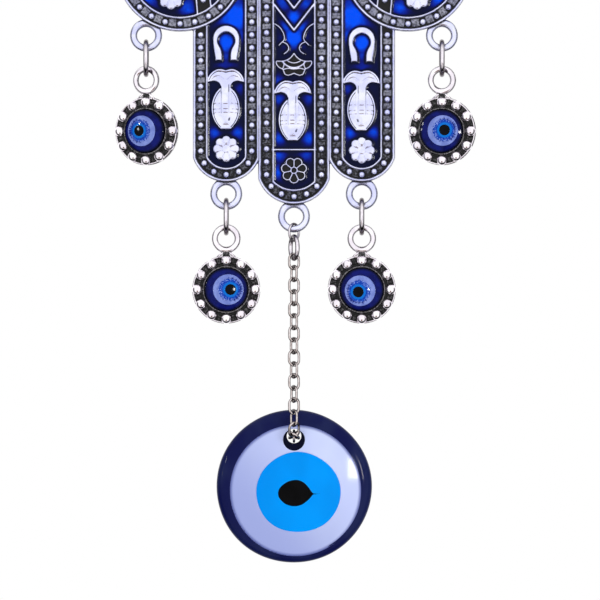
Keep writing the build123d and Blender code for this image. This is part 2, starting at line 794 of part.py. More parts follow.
# The charms on their jump rings
hang_drop = loop_radius - (loop_wire + ring_wire) / 2 - hang_gap + ring_radius
charm_loop_drop = ring_radius - (ring_wire + charm_loop_wire) / 2 - hang_gap + charm_loop_radius
for name, turn in charm_turns.items():
    across, loop_z = loop_places[name][0], -loop_places[name][1]
    ring_z = loop_z - hang_drop
    with BuildPart() as ring:
        with Locations(Location(at_front(across, ring_z), (0, 90, 0))):
            Torus(ring_radius, ring_wire / 2)
    ring.part.label = f"{name}_ring"
    export_step(ring.part, f"parts/{name}_ring.step")

    with BuildPart() as setting:
        with BuildSketch(front(-charm_half_depth)):
            Circle(charm_plate_radius)
        extrude(amount=charm_plate_thickness)
        with BuildSketch(front(charm_plate_thickness - charm_half_depth)):
            Circle(charm_cup_radius)
            Circle(cabochon_radius + seat_gap, mode=Mode.SUBTRACT)
        extrude(amount=charm_cup_height - charm_plate_thickness)
        with BuildSketch(front(-charm_loop_wire / 2)):
            with Locations((0, charm_drop - charm_loop_radius)):
                Rectangle(
                    charm_neck_width,
                    charm_drop - charm_loop_radius - charm_cup_radius,
                    align=(Align.CENTER, Align.MAX),
                )
        extrude(amount=charm_loop_wire)
        with Locations(
            *[
                at_front(charm_ball_ring * cos(angle), charm_ball_ring * sin(angle))
                for angle in [2 * pi * number / charm_ball_count for number in range(charm_ball_count)]
            ]
        ):
            Sphere(charm_ball_radius)
        with BuildSketch(front(charm_plate_thickness - charm_half_depth)):
            Circle(cabochon_radius + seat_gap)
        extrude(amount=charm_half_depth + charm_ball_radius, mode=Mode.SUBTRACT)
        with Locations(Location(at_front(0, charm_drop), (90, 0, 0))):
            Torus(charm_loop_radius, charm_loop_wire / 2)
    charm_z = ring_z - charm_loop_drop - charm_drop
    charm_place = Location(at_front(across, charm_z), (0, 0, turn))
    charm = setting.part.moved(charm_place)
    charm.label = f"{name}_setting"
    export_step(charm, f"parts/{name}_setting.step")
    eye_layers(
        f"{name}_eye",
        charm_place * Location(at_front(0, 0, charm_plate_thickness - charm_half_depth)),
        cabochon_radius,
        cabochon_edge,
        cabochon_dome,
    )

# The two rings that carry the chain
thin_z = -loop_places["middle"][1] - loop_radius + (loop_wire + thin_wire) / 2 + hang_gap - thin_radius
with BuildPart() as thin_ring:
    with Locations(Location(at_front(0, thin_z), (0, 90, 0)) * Location((0, 0, 0), (thin_turn, 0, 0))):
        Torus(thin_radius, thin_wire / 2)
thin_ring.part.label = "thin_ring"
export_step(thin_ring.part, "parts/thin_ring.step")

thick_z = thin_z - thin_radius + (thin_wire + thick_wire) / 2 + thick_gap - thick_radius
with BuildPart() as thick_ring:
    with Locations(Location(at_front(0, thick_z), (0, 90, 0)) * Location((0, 0, 0), (thick_turn, 0, 0))):
        Torus(thick_radius, thick_wire / 2)
thick_ring.part.label = "thick_ring"
export_step(thick_ring.part, "parts/thick_ring.step")

# One link of the cable chain, standing on end with its flat side to the front
with BuildPart() as link:
    with BuildSketch(Plane.XY.offset(link_bow - link_half)):
        with Locations((link_bow, 0), (-link_bow, 0)):
            Circle(chain_wire / 2)
    extrude(amount=2 * (link_half - link_bow))
    for end in (-1, 1):
        with Locations(Location((0, 0, end * (link_half - link_bow)), (end * 90, 0, 0))):
            Torus(link_bow, chain_wire / 2, major_angle=180, align=None)


def hook_reach(bend, gap):
    """From the point where two links cross to each one's wire centre, when the chain bends there."""
    return (chain_wire + gap) / (2 * cos(radians(bend) / 2))


def strand_leans(lean):
    """The lean of each link from the top of the front strand to the middle of the hole."""
    return [lean] * (chain_pair_count - 1) + [chain_last_lean, chain_entry_lean, 90.0]


def strand(lean, top):
    """Centres and upper pivots of the front strand's links, from the thick ring to the middle of the hole."""
    leans = strand_leans(lean)
    point = Vector(0, -chain_top_gap, top)
    centres, pivots = [], []
    above = (thick_wire + chain_wire) / 2 + chain_seat_gap
    for number, angle in enumerate(leans):
        way = Vector(0, sin(radians(angle)), -cos(radians(angle)))
        pivots.append(point)
        centres.append(point + way * (link_half - above))
        bend = leans[number + 1] - angle if number + 1 < len(leans) else 0.0
        above = hook_reach(bend, chain_bend_gap if bend else chain_gap)
        point = centres[-1] + way * (link_half - above)
    return centres, pivots


# The strands lean so that the middle link of the hole lies on the centre plane
chain_top = thick_z - thick_radius
chain_lean = 0.0
for _ in range(20):
    miss = strand(chain_lean, chain_top)[0][-1].Y
    chain_lean -= degrees(miss / (chain_pair_count * chain_link_length))
chain_centres, chain_pivots = strand(chain_lean, chain_top)


def link_place(number):
    """The place of one front link, by its number from the top."""
    angle = radians(strand_leans(chain_lean)[number])
    way = Vector(0, sin(angle), -cos(angle))
    if number > chain_pair_count:
        roll = radians(90)
    elif number == chain_pair_count:
        roll = radians(-chain_roll)
    else:
        odd_turn = 90 if (chain_pair_count - 1 - number) % 2 else 0
        roll = radians(chain_roll + odd_turn + chain_roll_swing * sin(number * number))
        if number == chain_pair_count - 1:
            roll = radians(chain_roll)
    across = Vector(1, 0, 0)
    deep = way.cross(across)
    return Plane(
        origin=chain_centres[number],
        x_dir=across * cos(roll) + deep * sin(roll),
        z_dir=way * -1,
    ).location


behind = Location((0, 0, 0), (0, 0, 180))
for number in range(chain_pair_count):
    place = link_place(number)
    pair = Compound(children=[link.part.moved(place), link.part.moved(behind * place)])
    pair.label = f"chain_links_{number + 1:02d}"
    export_step(pair, f"parts/{pair.label}.step")

entry = link_place(chain_pair_count)
hole_links = Compound(
    children=[
        link.part.moved(entry),
        link.part.moved(link_place(chain_pair_count + 1)),
        link.part.moved(behind * entry),
    ]
)
hole_links.label = "chain_hole_links"
export_step(hole_links, "parts/chain_hole_links.step")

# The glass disc, laid up in colours. It hangs on the chain at the top of its hole. At the back a web of glass
# narrows the hole to what the chain needs.
hole_z = chain_centres[-1].Z - chain_hole_lift
disc_z = hole_z - disc_hole_rise
face_radius = disc_radius - disc_rim_radius
face_rise = disc_half_thickness - disc_rim_thickness / 2
face_ball = (face_radius**2 + face_rise**2) / (2 * face_rise)
with BuildPart() as disc_blank:
    with BuildSketch(Plane.XY):
        with BuildLine():
            half_angle = asin(face_radius / face_ball) / 2
            for hand in (-1, 1):
                ThreePointArc(
                    (0, hand * disc_half_thickness),
                    (face_ball * sin(half_angle), hand * (disc_half_thickness - face_ball * (1 - cos(half_angle)))),
                    (face_radius, hand * disc_rim_thickness / 2),
                )
            ThreePointArc(
                (face_radius, -disc_rim_thickness / 2),
                (disc_radius, 0),
                (face_radius, disc_rim_thickness / 2),
            )
            Line((0, -disc_half_thickness), (0, disc_half_thickness))
        make_face()
    revolve(axis=Axis.Y)
    with BuildSketch(front(-disc_web_depth)):
        with Locations((0, disc_hole_rise)):
            Circle(disc_hole_radius)
    extrude(amount=2 * disc_half_thickness, mode=Mode.SUBTRACT)
    with BuildSketch(front(-2 * disc_half_thickness)):
        with Locations((0, disc_hole_rise + chain_hole_lift)):
            Circle(disc_back_hole_radius)
    extrude(amount=4 * disc_half_thickness, mode=Mode.SUBTRACT)

with BuildSketch() as pupil_face:
    with Locations((disc_pupil_right, -disc_pupil_down)):
        Ellipse(disc_pupil_half_width, disc_pupil_half_height)
    with BuildLine():
        edge_x = disc_pupil_right + disc_pupil_half_width / 2
        edge_z = disc_pupil_half_height * (1 - 1 / 4) ** 0.5
        point = (disc_pupil_right + disc_pupil_half_width + disc_pupil_point, -disc_pupil_down)
        Polyline(
            (edge_x, edge_z - disc_pupil_down),
            point,
            (edge_x, -edge_z - disc_pupil_down),
            (edge_x, edge_z - disc_pupil_down),
        )
    make_face()
white_face = disc_face(disc_white_right, -disc_white_down, disc_white_radius)
iris_face = disc_face(disc_iris_right, -disc_iris_down, disc_iris_radius)

disc_layers = {
    "disc_body": (None, None, ((white_face, disc_layer),)),
    "disc_white": (white_face, disc_layer, ((iris_face, disc_iris_layer),)),
    "disc_iris": (iris_face, disc_iris_layer, ((pupil_face.sketch, disc_pupil_layer),)),
    "disc_pupil": (pupil_face.sketch, disc_pupil_layer, ()),
}
for name, (face, depth, pockets) in disc_layers.items():
    with BuildPart() as piece:
        add(disc_blank.part)
        if face:
            with BuildSketch(front(disc_half_thickness - depth)):
                add(face)
            extrude(amount=2 * disc_half_thickness, mode=Mode.INTERSECT)
        for pocket, pocket_depth in pockets:
            with BuildSketch(front(disc_half_thickness - pocket_depth)):
                add(pocket)
            extrude(amount=2 * disc_half_thickness, mode=Mode.SUBTRACT)
    layer = piece.part.moved(Location(at_front(0, disc_z)))
    layer.label = name
    export_step(layer, f"parts/{name}.step")
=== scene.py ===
"""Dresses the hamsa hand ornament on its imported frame.

Sizes are in millimetres and turn to metres where a mesh is made. X is across the hand, minus Y is the
front and Z is up, from the centre of the hanging eye.
"""

import json
import logging
import math
from dataclasses import dataclass, field
from enum import Enum
from typing import Callable, Sequence

import bpy
import numpy as np
from mathutils import Matrix, Vector
from mathutils.geometry import tessellate_polygon

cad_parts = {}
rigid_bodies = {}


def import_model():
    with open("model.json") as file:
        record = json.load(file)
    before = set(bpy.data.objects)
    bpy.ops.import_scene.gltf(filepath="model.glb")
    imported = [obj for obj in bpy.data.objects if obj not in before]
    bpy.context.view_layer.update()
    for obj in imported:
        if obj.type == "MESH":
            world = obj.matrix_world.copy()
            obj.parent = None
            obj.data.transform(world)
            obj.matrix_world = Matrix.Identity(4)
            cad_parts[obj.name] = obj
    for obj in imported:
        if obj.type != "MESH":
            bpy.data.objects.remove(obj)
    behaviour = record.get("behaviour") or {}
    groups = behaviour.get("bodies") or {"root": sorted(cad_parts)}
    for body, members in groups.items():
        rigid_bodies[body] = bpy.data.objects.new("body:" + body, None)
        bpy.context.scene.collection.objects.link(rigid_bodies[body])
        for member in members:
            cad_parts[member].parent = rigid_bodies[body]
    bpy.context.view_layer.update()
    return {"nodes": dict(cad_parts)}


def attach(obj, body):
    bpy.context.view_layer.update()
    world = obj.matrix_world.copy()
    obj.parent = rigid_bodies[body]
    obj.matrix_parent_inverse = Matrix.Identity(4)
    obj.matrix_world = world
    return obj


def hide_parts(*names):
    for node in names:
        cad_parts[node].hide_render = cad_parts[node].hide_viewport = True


Array = np.ndarray
Point = tuple[float, float]
Point3 = tuple[float, float, float]
Box = tuple[float, float, float, float]
Mesh = tuple[Array, list[Array]]
Socket = bpy.types.NodeSocket
Material = bpy.types.Material
METRES = 0.001
FULL_TURN = 2 * math.pi
EVERYWHERE: Box = (-1e3, 1e3, -1e3, 1e3)
SIDES = {"left": -1, "right": 1}

log = logging.getLogger("hamsa")


# Flat areas of the die


def smooth(value: Array, low: float, high: float) -> Array:
    """Rises softly from 0 at low to 1 at high."""
    share = np.clip((value - low) / (high - low), 0, 1)
    return share * share * (3 - 2 * share)


def around(centre: Point, radius: float, angles: Sequence[float]) -> list[Point]:
    """Points round a centre, at some angles."""
    return [(centre[0] + radius * math.cos(a), centre[1] + radius * math.sin(a)) for a in angles]


def turns(count: int, start: float = 0.0) -> list[float]:
    """Angles that share out a full turn, from a start."""
    return [start + FULL_TURN * number / count for number in range(count)]


def box_of(points: Sequence[Point], margin: float = 0.0) -> Box:
    """Left, right, low and high of some points."""
    across, up = np.array(points).T
    return (across.min() - margin, across.max() + margin, up.min() - margin, up.max() + margin)


@dataclass(frozen=True)
class Area:
    """A flat area of the die.

    Args:
        inside: distance from a point, across and up, to the area's edge; positive inside it.
        box: left, right, low and high of the area.
    """

    inside: Callable[[Array, Array], Array]
    box: Box = EVERYWHERE

    def __and__(self, other: "Area") -> "Area":
        """The part that two areas share.

        Args:
            other: the other area.

        Returns:
            The area.
        """
        a, b = self.box, other.box
        box = (max(a[0], b[0]), min(a[1], b[1]), max(a[2], b[2]), min(a[3], b[3]))
        return Area(lambda x, z: np.minimum(self.inside(x, z), other.inside(x, z)), box)

    def __or__(self, other: "Area") -> "Area":
        """Two areas together.

        Args:
            other: the other area.

        Returns:
            The area.
        """
        a, b = self.box, other.box
        box = (min(a[0], b[0]), max(a[1], b[1]), min(a[2], b[2]), max(a[3], b[3]))
        return Area(lambda x, z: np.maximum(self.inside(x, z), other.inside(x, z)), box)

    def __neg__(self) -> "Area":
        """Everything outside the area."""
        return Area(lambda x, z: -self.inside(x, z))

    def grown(self, amount: float) -> "Area":
        """The area with its edge moved outwards.

        Args:
            amount: how far the edge moves.

        Returns:
            The area.
        """
        left, right, low, high = self.box
        box = (left - amount, right + amount, low - amount, high + amount)
        return Area(lambda x, z: self.inside(x, z) + amount, box)

    def line(self, start: float, width: float) -> "Area":
        """A line along the edge, from a distance inside it; a start below 0 lies outside."""
        box = self.grown(max(0.0, -start)).box
        return Area(lambda x, z: width / 2 - np.abs(self.inside(x, z) - start - width / 2), box)


def disc(centre: Point, radius: float) -> Area:
    """A round area."""
    x0, z0 = centre
    return Area(lambda x, z: radius - np.hypot(x - x0, z - z0), box_of([centre], radius))


def fingertip(centre: float, half_width: float, drop: float, rise: float, top: float) -> Area:
    """A finger: straight sides and one arc across the tip.

    Args:
        centre: its middle, across.
        half_width: half its width.
        drop: how far down its tip is.
        rise: how far the arc of the tip rises.
        top: the height that it goes up to.

    Returns:
        The area.
    """
    radius = (half_width**2 + rise**2) / (2 * rise)

    def inside(x: Array, z: Array) -> Array:
        """Distance to the sides, and to the arc below its centre.

        Args:
            x: places, across.
            z: places, up.

        Returns:
            The distances.
        """
        sides = half_width - np.abs(x - centre)
        tip = radius - np.hypot(x - centre, z + drop - radius)
        return np.where(z < radius - drop, np.minimum(sides, tip), sides)

    return Area(inside, (centre - half_width, centre + half_width, -drop, top))


def nearest_run(points: Sequence[Point], closed: bool, x: Array, z: Array) -> Array:
    """Distance to the nearest run of a line through points.

    Args:
        points: the points that the line runs through.
        closed: whether its ends join.
        x: places, across.
        z: places, up.

    Returns:
        The distances.
    """
    ends = np.array(points, float)
    pairs = zip(ends, np.roll(ends, -1, axis=0)) if closed else zip(ends[:-1], ends[1:])
    nearest = np.full(np.shape(x), np.inf)
    for (ax, az), (bx, bz) in pairs:
        dx, dz = bx - ax, bz - az
        share = np.clip(((x - ax) * dx + (z - az) * dz) / max(dx * dx + dz * dz, 1e-12), 0, 1)
        nearest = np.minimum(nearest, np.hypot(x - ax - share * dx, z - az - share * dz))
    return nearest


def polygon(points: Sequence[Point]) -> Area:
    """The inside of a closed outline.

    Args:
        points: its corners, in order.

    Returns:
        The area.
    """
    ends = np.array(points, float)

    def inside(x: Array, z: Array) -> Array:
        """Distance to the outline, with its sign from the runs crossed.

        Args:
            x: places, across.
            z: places, up.

        Returns:
            The distances.
        """
        within = np.zeros(np.shape(x), bool)
        for (ax, az), (bx, bz) in zip(ends, np.roll(ends, -1, axis=0)):
            if az != bz:
                within ^= ((az > z) != (bz > z)) & (x < (bx - ax) * (z - az) / (bz - az) + ax)
        return np.where(within, 1, -1) * nearest_run(points, True, x, z)

    return Area(inside, box_of(points))


def stroke(points: Sequence[Point], width: float) -> Area:
    """A drawn line with round ends."""
    return Area(lambda x, z: width / 2 - nearest_run(points, False, x, z), box_of(points, width / 2))


def pad(centre: Point, way: Point, length: float, width: float) -> Area:
    """A rectangle turned along a way.

    Args:
        centre: its middle.
        way: the way that it lies along.
        length: its length along the way.
        width: its width across the way.

    Returns:
        The area.
    """
    (x0, z0), size = centre, math.hypot(*way)
    ux, uz = way[0] / size, way[1] / size

    def inside(x: Array, z: Array) -> Array:
        """Distance to the nearer pair of sides."""
        along, across = (x - x0) * ux + (z - z0) * uz, (z - z0) * ux - (x - x0) * uz
        return np.minimum(length / 2 - np.abs(along), width / 2 - np.abs(across))

    return Area(inside, box_of([centre], math.hypot(length, width) / 2))


def arc(first: Point, middle: Point, last: Point, steps: int = 14) -> list[Point]:
    """Points along the arc through three points.

    Args:
        first: where it starts.
        middle: a point that it goes through.
        last: where it ends.
        steps: how many runs it has.

    Returns:
        Its points.
    """
    (ax, az), (bx, bz), (cx, cz) = first, middle, last
    turn = 2 * (ax * (bz - cz) + bx * (cz - az) + cx * (az - bz))
    a, b, c = ax**2 + az**2, bx**2 + bz**2, cx**2 + cz**2
    x = (a * (bz - cz) + b * (cz - az) + c * (az - bz)) / turn
    z = (a * (cx - bx) + b * (ax - cx) + c * (bx - ax)) / turn
    radius, start = math.hypot(ax - x, az - z), math.atan2(az - z, ax - x)
    sweep = (math.atan2(cz - z, cx - x) - start) % FULL_TURN
    if (math.atan2(bz - z, bx - x) - start) % FULL_TURN > sweep:
        sweep -= FULL_TURN
    return around((x, z), radius, [start + sweep * step / steps for step in range(steps + 1)])


def flow(points: Sequence[Point], steps: int = 6) -> list[Point]:
    """Points along a smooth curve through the given ones.

    Args:
        points: the given points.
        steps: how many runs lie between neighbours.

    Returns:
        Its points.
    """
    ends = np.array([points[0], *points, points[-1]], float)
    out: list[Point] = []
    for before, start, end, after in zip(ends, ends[1:], ends[2:], ends[3:]):
        for t in np.arange(steps) / steps:
            square = (2 * before - 5 * start + 4 * end - after) * t**2
            cube = (3 * start - before - 3 * end + after) * t**3
            curve = (2 * start + (end - before) * t + square + cube) / 2
            out.append((float(curve[0]), float(curve[1])))
    return [*out, (float(points[-1][0]), float(points[-1][1]))]


def shifted(points: Sequence[Point], centre: Point, side: int = 1) -> list[Point]:
    """Points given about a centre, on the side that is asked for."""
    return [(centre[0] + side * x, centre[1] + z) for x, z in points]


def mirrored(half: Sequence[Point], centre: Point) -> list[Point]:
    """A closed outline from its right half, given about a centre from the top down."""
    return shifted(half, centre) + shifted(half, centre, -1)[::-1]


@dataclass(frozen=True)
class Raised:
    """A shape that stands up from the floor of the casting.

    Args:
        area: where it stands.
        top: its height above the floor.
        slope: how far inside its edge it is at full height.
        tone: how much oxide stays on its top, from 0 to 1.
    """

    area: Area
    top: float
    slope: float
    tone: float = 0.0


@dataclass(frozen=True)
class Groove:
    """A line engraved into what stands up.

    Args:
        points: the points that the line runs through.
        width: its width at the surface.
        depth: its depth.
        tone: how much oxide it holds, from 0 to 1.
    """

    points: Sequence[Point]
    width: float
    depth: float
    tone: float


# Meshes


@dataclass
class Piece:
    """The points, faces and marks of one mesh while it is put together, in millimetres.

    Args:
        name: the object's name.
        marks: names of the numbers that each point carries for its material.
    """

    name: str
    marks: tuple[str, ...] = ("oxide",)
    points: list[Array] = field(default_factory=list)
    faces: list[Array] = field(default_factory=list)
    values: dict[str, list[Array]] = field(default_factory=dict)
    count: int = 0

    def add(self, points: Array, faces: Sequence[Array], **values: Array | float) -> None:
        """Adds one shell.

        Args:
            points: its points, one row each.
            faces: arrays of faces with the same number of corners, as rows of point numbers.
            values: its marks; one that isn't given is 0.
        """
        self.points.append(points)
        self.faces += [face + self.count for face in faces if len(face)]
        for mark in self.marks:
            value = np.broadcast_to(np.asarray(values.get(mark, 0.0), float), (len(points),))
            self.values.setdefault(mark, []).append(value)
        self.count += len(points)

    def build(self, turn: float = 0.0, place: Sequence[float] = (0, 0, 0)) -> bpy.types.Object:
        """Makes the object.

        Args:
            turn: degrees about the upright axis.
            place: where the piece's own origin goes.

        Returns:
            The object, in the scene.
        """
        c, s = math.cos(math.radians(turn)), math.sin(math.radians(turn))
        points = np.concatenate(self.points).astype(float)
        points = points @ np.array([[c, s, 0], [-s, c, 0], [0, 0, 1]]) + np.array(place, float)
        corners = np.concatenate([face.ravel() for face in self.faces])
        sizes = np.concatenate([np.full(len(face), face.shape[1]) for face in self.faces])
        starts = np.concatenate(([0], np.cumsum(sizes)[:-1]))
        mesh = bpy.data.meshes.new(self.name)
        mesh.vertices.add(len(points))
        mesh.vertices.foreach_set("co", (points * METRES).astype(np.float32).ravel())
        mesh.loops.add(len(corners))
        mesh.loops.foreach_set("vertex_index", corners.astype(np.int32))
        mesh.polygons.add(len(sizes))
        mesh.polygons.foreach_set("loop_start", starts.astype(np.int32))
        mesh.update(calc_edges=True)
        for mark, values in self.values.items():
            layer = mesh.attributes.new(mark, "FLOAT", "POINT")
            layer.data.foreach_set("value", np.concatenate(values).astype(np.float32))
        mesh.validate()
        mesh.shade_smooth()
        piece = bpy.data.objects.new(self.name, mesh)
        bpy.context.scene.collection.objects.link(piece)
        return piece


def turned(profile: Sequence[Point], segments: int, centre: Point, closed: bool = False) -> Mesh:
    """A shell turned about an axis that runs front to back.

    Args:
        profile: radius and depth (Y) of each ring, from the front round to the back.
        segments: divisions round the axis.
        centre: the axis, across and up.
        closed: whether the last ring joins the first.

    Returns:
        Points and arrays of faces.
    """
    angles = FULL_TURN * np.arange(segments) / segments
    points, rings, count = [], [], 0
    for radius, depth in profile:
        size = 1 if radius < 1e-6 else segments
        across, up = centre[0] + radius * np.cos(angles[:size]), centre[1] + radius * np.sin(angles[:size])
        points.append(np.stack([across, np.full(size, depth), up], 1))
        rings.append(count + np.arange(size))
        count += size
    quads, fans = [], []
    for a, b in list(zip(rings, rings[1:])) + ([(rings[-1], rings[0])] if closed else []):
        if len(a) == 1:
            fans.append(np.stack([np.broadcast_to(a, segments), b, np.roll(b, -1)], 1))
        elif len(b) == 1:
            fans.append(np.stack([np.broadcast_to(b, segments), np.roll(a, -1), a], 1))
        else:
            quads.append(np.stack([a, b, np.roll(b, -1), np.roll(a, -1)], 1))
    return np.concatenate(points), [np.concatenate(group) for group in (quads, fans) if group]


def ball_profile(radius: float, middle: float, steps: int) -> list[Point]:
    """The profile of a ball whose centre lies at a depth.

    Args:
        radius: the ball's radius.
        middle: depth (Y) of its centre.
        steps: how many runs it has.

    Returns:
        Radius and depth of each ring.
    """
    angles = [math.pi * step / steps for step in range(steps + 1)]
    radii = [radius * math.sin(a) if 0 < a < math.pi else 0.0 for a in angles]
    return [(size, middle - radius * math.cos(a)) for size, a in zip(radii, angles)]


def tube(path: Array, radii: Array | float, segments: int, closed: bool) -> Mesh:
    """A wire along a path.

    Args:
        path: points along its middle.
        radii: its radius, or one for each point.
        segments: divisions round the wire.
        closed: whether the wire is a ring; open ends are capped.

    Returns:
        Points and arrays of faces.
    """
    count = len(path)
    way = np.roll(path, -1, 0) - np.roll(path, 1, 0)
    if not closed:
        way[0], way[-1] = path[1] - path[0], path[-1] - path[-2]
    way = way / np.linalg.norm(way, axis=1, keepdims=True)
    plane = np.cross(way[0], way[count // 3]) if closed else np.array([0.0, 1.0, 0.0])
    side = np.cross(way, plane / np.linalg.norm(plane))
    side = side / np.linalg.norm(side, axis=1, keepdims=True)
    other = np.cross(way, side)
    angles = FULL_TURN * np.arange(segments)[None, :, None] / segments
    round_it = np.cos(angles) * side[:, None] + np.sin(angles) * other[:, None]
    radius = np.broadcast_to(np.asarray(radii, float), (count,))
    points = path[:, None] + radius[:, None, None] * round_it
    index = np.arange(count * segments).reshape(count, segments)
    ahead, here = (np.roll(index, -1, 0), index) if closed else (index[1:], index[:-1])
    quads = np.stack([here, np.roll(here, -1, 1), np.roll(ahead, -1, 1), ahead], 2).reshape(-1, 4)
    return points.reshape(-1, 3), [quads] if closed else [quads, index[0][::-1][None], index[-1][None]]


def ring_path(centre: Point, radius: float, steps: int = 72) -> Array:
    """Points round a ring that faces the front."""
    return np.array([(x, 0.0, z) for x, z in around(centre, radius, turns(steps))])


def wire_side_shade(points: Array, wire: float) -> Array:
    """Painted shade along the sides of a ring's wire, the parts seen edge-on from the front; it goes into
    the oxide mark.
    """
    return 0.6 * (1 - smooth(np.abs(points[:, 1]) / (wire / 2), 0.45, 0.96))


class Relief:
    """A face with raised shapes, as heights over a fine net whose points are drawn onto the edges."""

    # How far outside and inside an edge the points lie that are drawn onto it, in spacings of the net.
    outward: float = 0.6
    inward: float = 0.4

    def __init__(self, outline: Area, pitch: float) -> None:
        """Lays the net over an outline.

        Args:
            outline: the area of the face.
            pitch: the net's spacing.
        """
        left, right, low, high = outline.box
        across = np.arange(left - pitch, right + 2 * pitch, pitch)
        up = np.arange(low - pitch, high + 2 * pitch, pitch)
        self.outline, self.pitch, self.corner = outline, pitch, (across[0], up[0])
        self.x, self.z = np.meshgrid(across, up)
        edge = outline.inside(self.x, self.z)
        self.kept = edge >= -self.outward * pitch
        self.held = self.draw_onto(edge, self.kept)
        self.height = np.zeros_like(self.x)
        self.oxide = np.ones_like(self.x)

    def window(self, box: Box) -> tuple[slice, slice]:
        """The rows and columns of the net that a box covers.

        Args:
            box: left, right, low and high.

        Returns:
            Slices of the rows and of the columns.
        """
        spans = []
        for low, high, start, size in zip(box[2::-2], box[3::-2], self.corner[::-1], self.x.shape):
            first = int(np.clip((low - start) / self.pitch - 2, 0, size))
            spans.append(slice(first, int(np.clip((high - start) / self.pitch + 4, first, size))))
        return spans[0], spans[1]

    def draw_onto(self, distance: Array, allowed: Array) -> Array:
        """Draws the points near an edge onto it, and returns which ones moved.

        Args:
            distance: distance to the edge at each point.
            allowed: which points may move.

        Returns:
            Which points moved.
        """
        along_z, along_x = np.gradient(distance, self.pitch)
        steep = np.maximum(along_x**2 + along_z**2, 0.5)
        outer, inner = -self.outward * self.pitch, self.inward * self.pitch
        near = allowed & (distance >= outer) & (distance <= inner)
        self.x = np.where(near, self.x - distance * along_x / steep, self.x)
        self.z = np.where(near, self.z - distance * along_z / steep, self.z)
        return near

    def walls(self, raised: Sequence[Raised]) -> Array:
        """Distance to the nearest raised shape's edge, positive inside it.

        Args:
            raised: the raised shapes.

        Returns:
            The distances.
        """
        wall = np.full(self.x.shape, -10.0)
        for shape in raised:
            part = self.window(shape.area.grown(1.5).box)
            if wall[part].size:
                wall[part] = np.maximum(wall[part], shape.area.inside(self.x[part], self.z[part]))
        return wall

    def press(self, raised: Sequence[Raised], grooves: Sequence[Groove] = ()) -> None:
        """Raises the shapes, engraves the lines and leaves oxide low down.

        Args:
            raised: the shapes.
            grooves: the lines.
        """
        self.draw_onto(self.walls(raised), self.kept & ~self.held)
        for shape in raised:
            part = self.window(shape.area.box)
            if not self.x[part].size:
                continue
            inside = np.clip(shape.area.inside(self.x[part], self.z[part]) / shape.slope, 0, 1)
            rise = shape.top * np.sqrt(1 - (1 - inside) ** 2)
            low = 1 - smooth(rise / shape.top, 0.3, 0.85)
            higher = rise > self.height[part]
            self.oxide[part] = np.where(higher, shape.tone + (1 - shape.tone) * low, self.oxide[part])
            self.height[part] = np.where(higher, rise, self.height[part])
        for groove in grooves:
            area = stroke(groove.points, groove.width)
            part = self.window(area.box)
            if not self.x[part].size:
                continue
            inside = np.clip(area.inside(self.x[part], self.z[part]) / (groove.width / 2), 0, 1)
            cut = 1 - (1 - inside) ** 2
            self.height[part] -= groove.depth * cut
            self.oxide[part] = np.maximum(self.oxide[part], groove.tone * cut)

    def borders(self, faces: Sequence[Array], total: int) -> list[list[int]]:
        """The loops of points along the edge of some faces.

        Args:
            faces: arrays of faces.
            total: how many points there are.

        Returns:
            Point numbers of each loop; slips of a few points are left out.
        """
        runs = [face[:, [a, (a + 1) % face.shape[1]]] for face in faces for a in range(face.shape[1])]
        edges = np.concatenate(runs).astype(np.int64)
        keys, reverse = edges[:, 0] * total + edges[:, 1], edges[:, 1] * total + edges[:, 0]
        follow = dict(edges[~np.isin(keys, reverse)].tolist())
        loops = []
        while follow:
            loop = list(follow.popitem())
            while loop[-1] in follow:
                loop.append(follow.pop(loop[-1]))
            loop = loop[:-1] if loop[-1] == loop[0] else loop
            if len(loop) >= 8:
                loops.append(loop)
        return loops

    def shell(self, floor: float, back: float, bevel: float) -> tuple[Array, list[Array], Array]:
        """The closed plate: the relief in front, a flat back and a wall between them.

        Args:
            floor: depth (Y) of the relief's floor.
            back: depth (Y) of the flat back.
            bevel: size of the broken edge at the back.

        Returns:
            Points, arrays of faces, and the oxide of each point.
        """
        index = np.full(self.x.shape, -1)
        index[self.kept] = np.arange(self.kept.sum())
        front = np.stack([self.x[self.kept], floor - self.height[self.kept], self.z[self.kept]], 1)
        corners = np.stack([index[:-1, :-1], index[:-1, 1:], index[1:, 1:], index[1:, :-1]], 2)
        corners = corners.reshape(-1, 4)
        missing = (corners < 0).sum(1)
        quads, odd = corners[missing == 0], corners[missing == 1]
        triangles = odd[odd >= 0].reshape(-1, 3)
        points, oxide, walls, order = [front], [self.oxide[self.kept]], [], []
        loops: list[list[Vector]] = []
        inside, step, first = self.outline.inside, self.pitch / 4, len(front)
        for loop in self.borders([quads, triangles], len(front)):
            rim, size = front[loop], len(loop)
            x, z = rim[:, 0], rim[:, 2]
            across = inside(x + step, z) - inside(x - step, z)
            slope = np.stack([across, inside(x, z + step) - inside(x, z - step)], 1)
            slope = slope / np.maximum(np.linalg.norm(slope, axis=1, keepdims=True), 1e-9)
            side, foot = rim.copy(), rim.copy()
            side[:, 1], foot[:, 1] = back - bevel, back
            foot[:, [0, 2]] += bevel * slope
            rings = [np.array(loop), first + np.arange(size), first + size + np.arange(size)]
            for a, b in zip(rings, rings[1:]):
                walls.append(np.stack([np.roll(a, -1), a, b, np.roll(b, -1)], 1))
            points += [side, foot]
            oxide += [np.full(size, 0.25), np.full(size, 0.35)]
            loops.append([Vector((a, b, 0)) for a, _, b in foot])
            order += rings[2].tolist()
            first += 2 * size
        points = np.concatenate(points)
        caps = np.array(order)[np.array(tessellate_polygon(loops))]
        a, b, c = (points[caps[:, corner]] for corner in range(3))
        area = (b[:, 0] - a[:, 0]) * (c[:, 2] - a[:, 2]) - (b[:, 2] - a[:, 2]) * (c[:, 0] - a[:, 0])
        caps[area > 0] = caps[area > 0][:, ::-1]
        caps = caps[np.abs(area) > 1e-9]
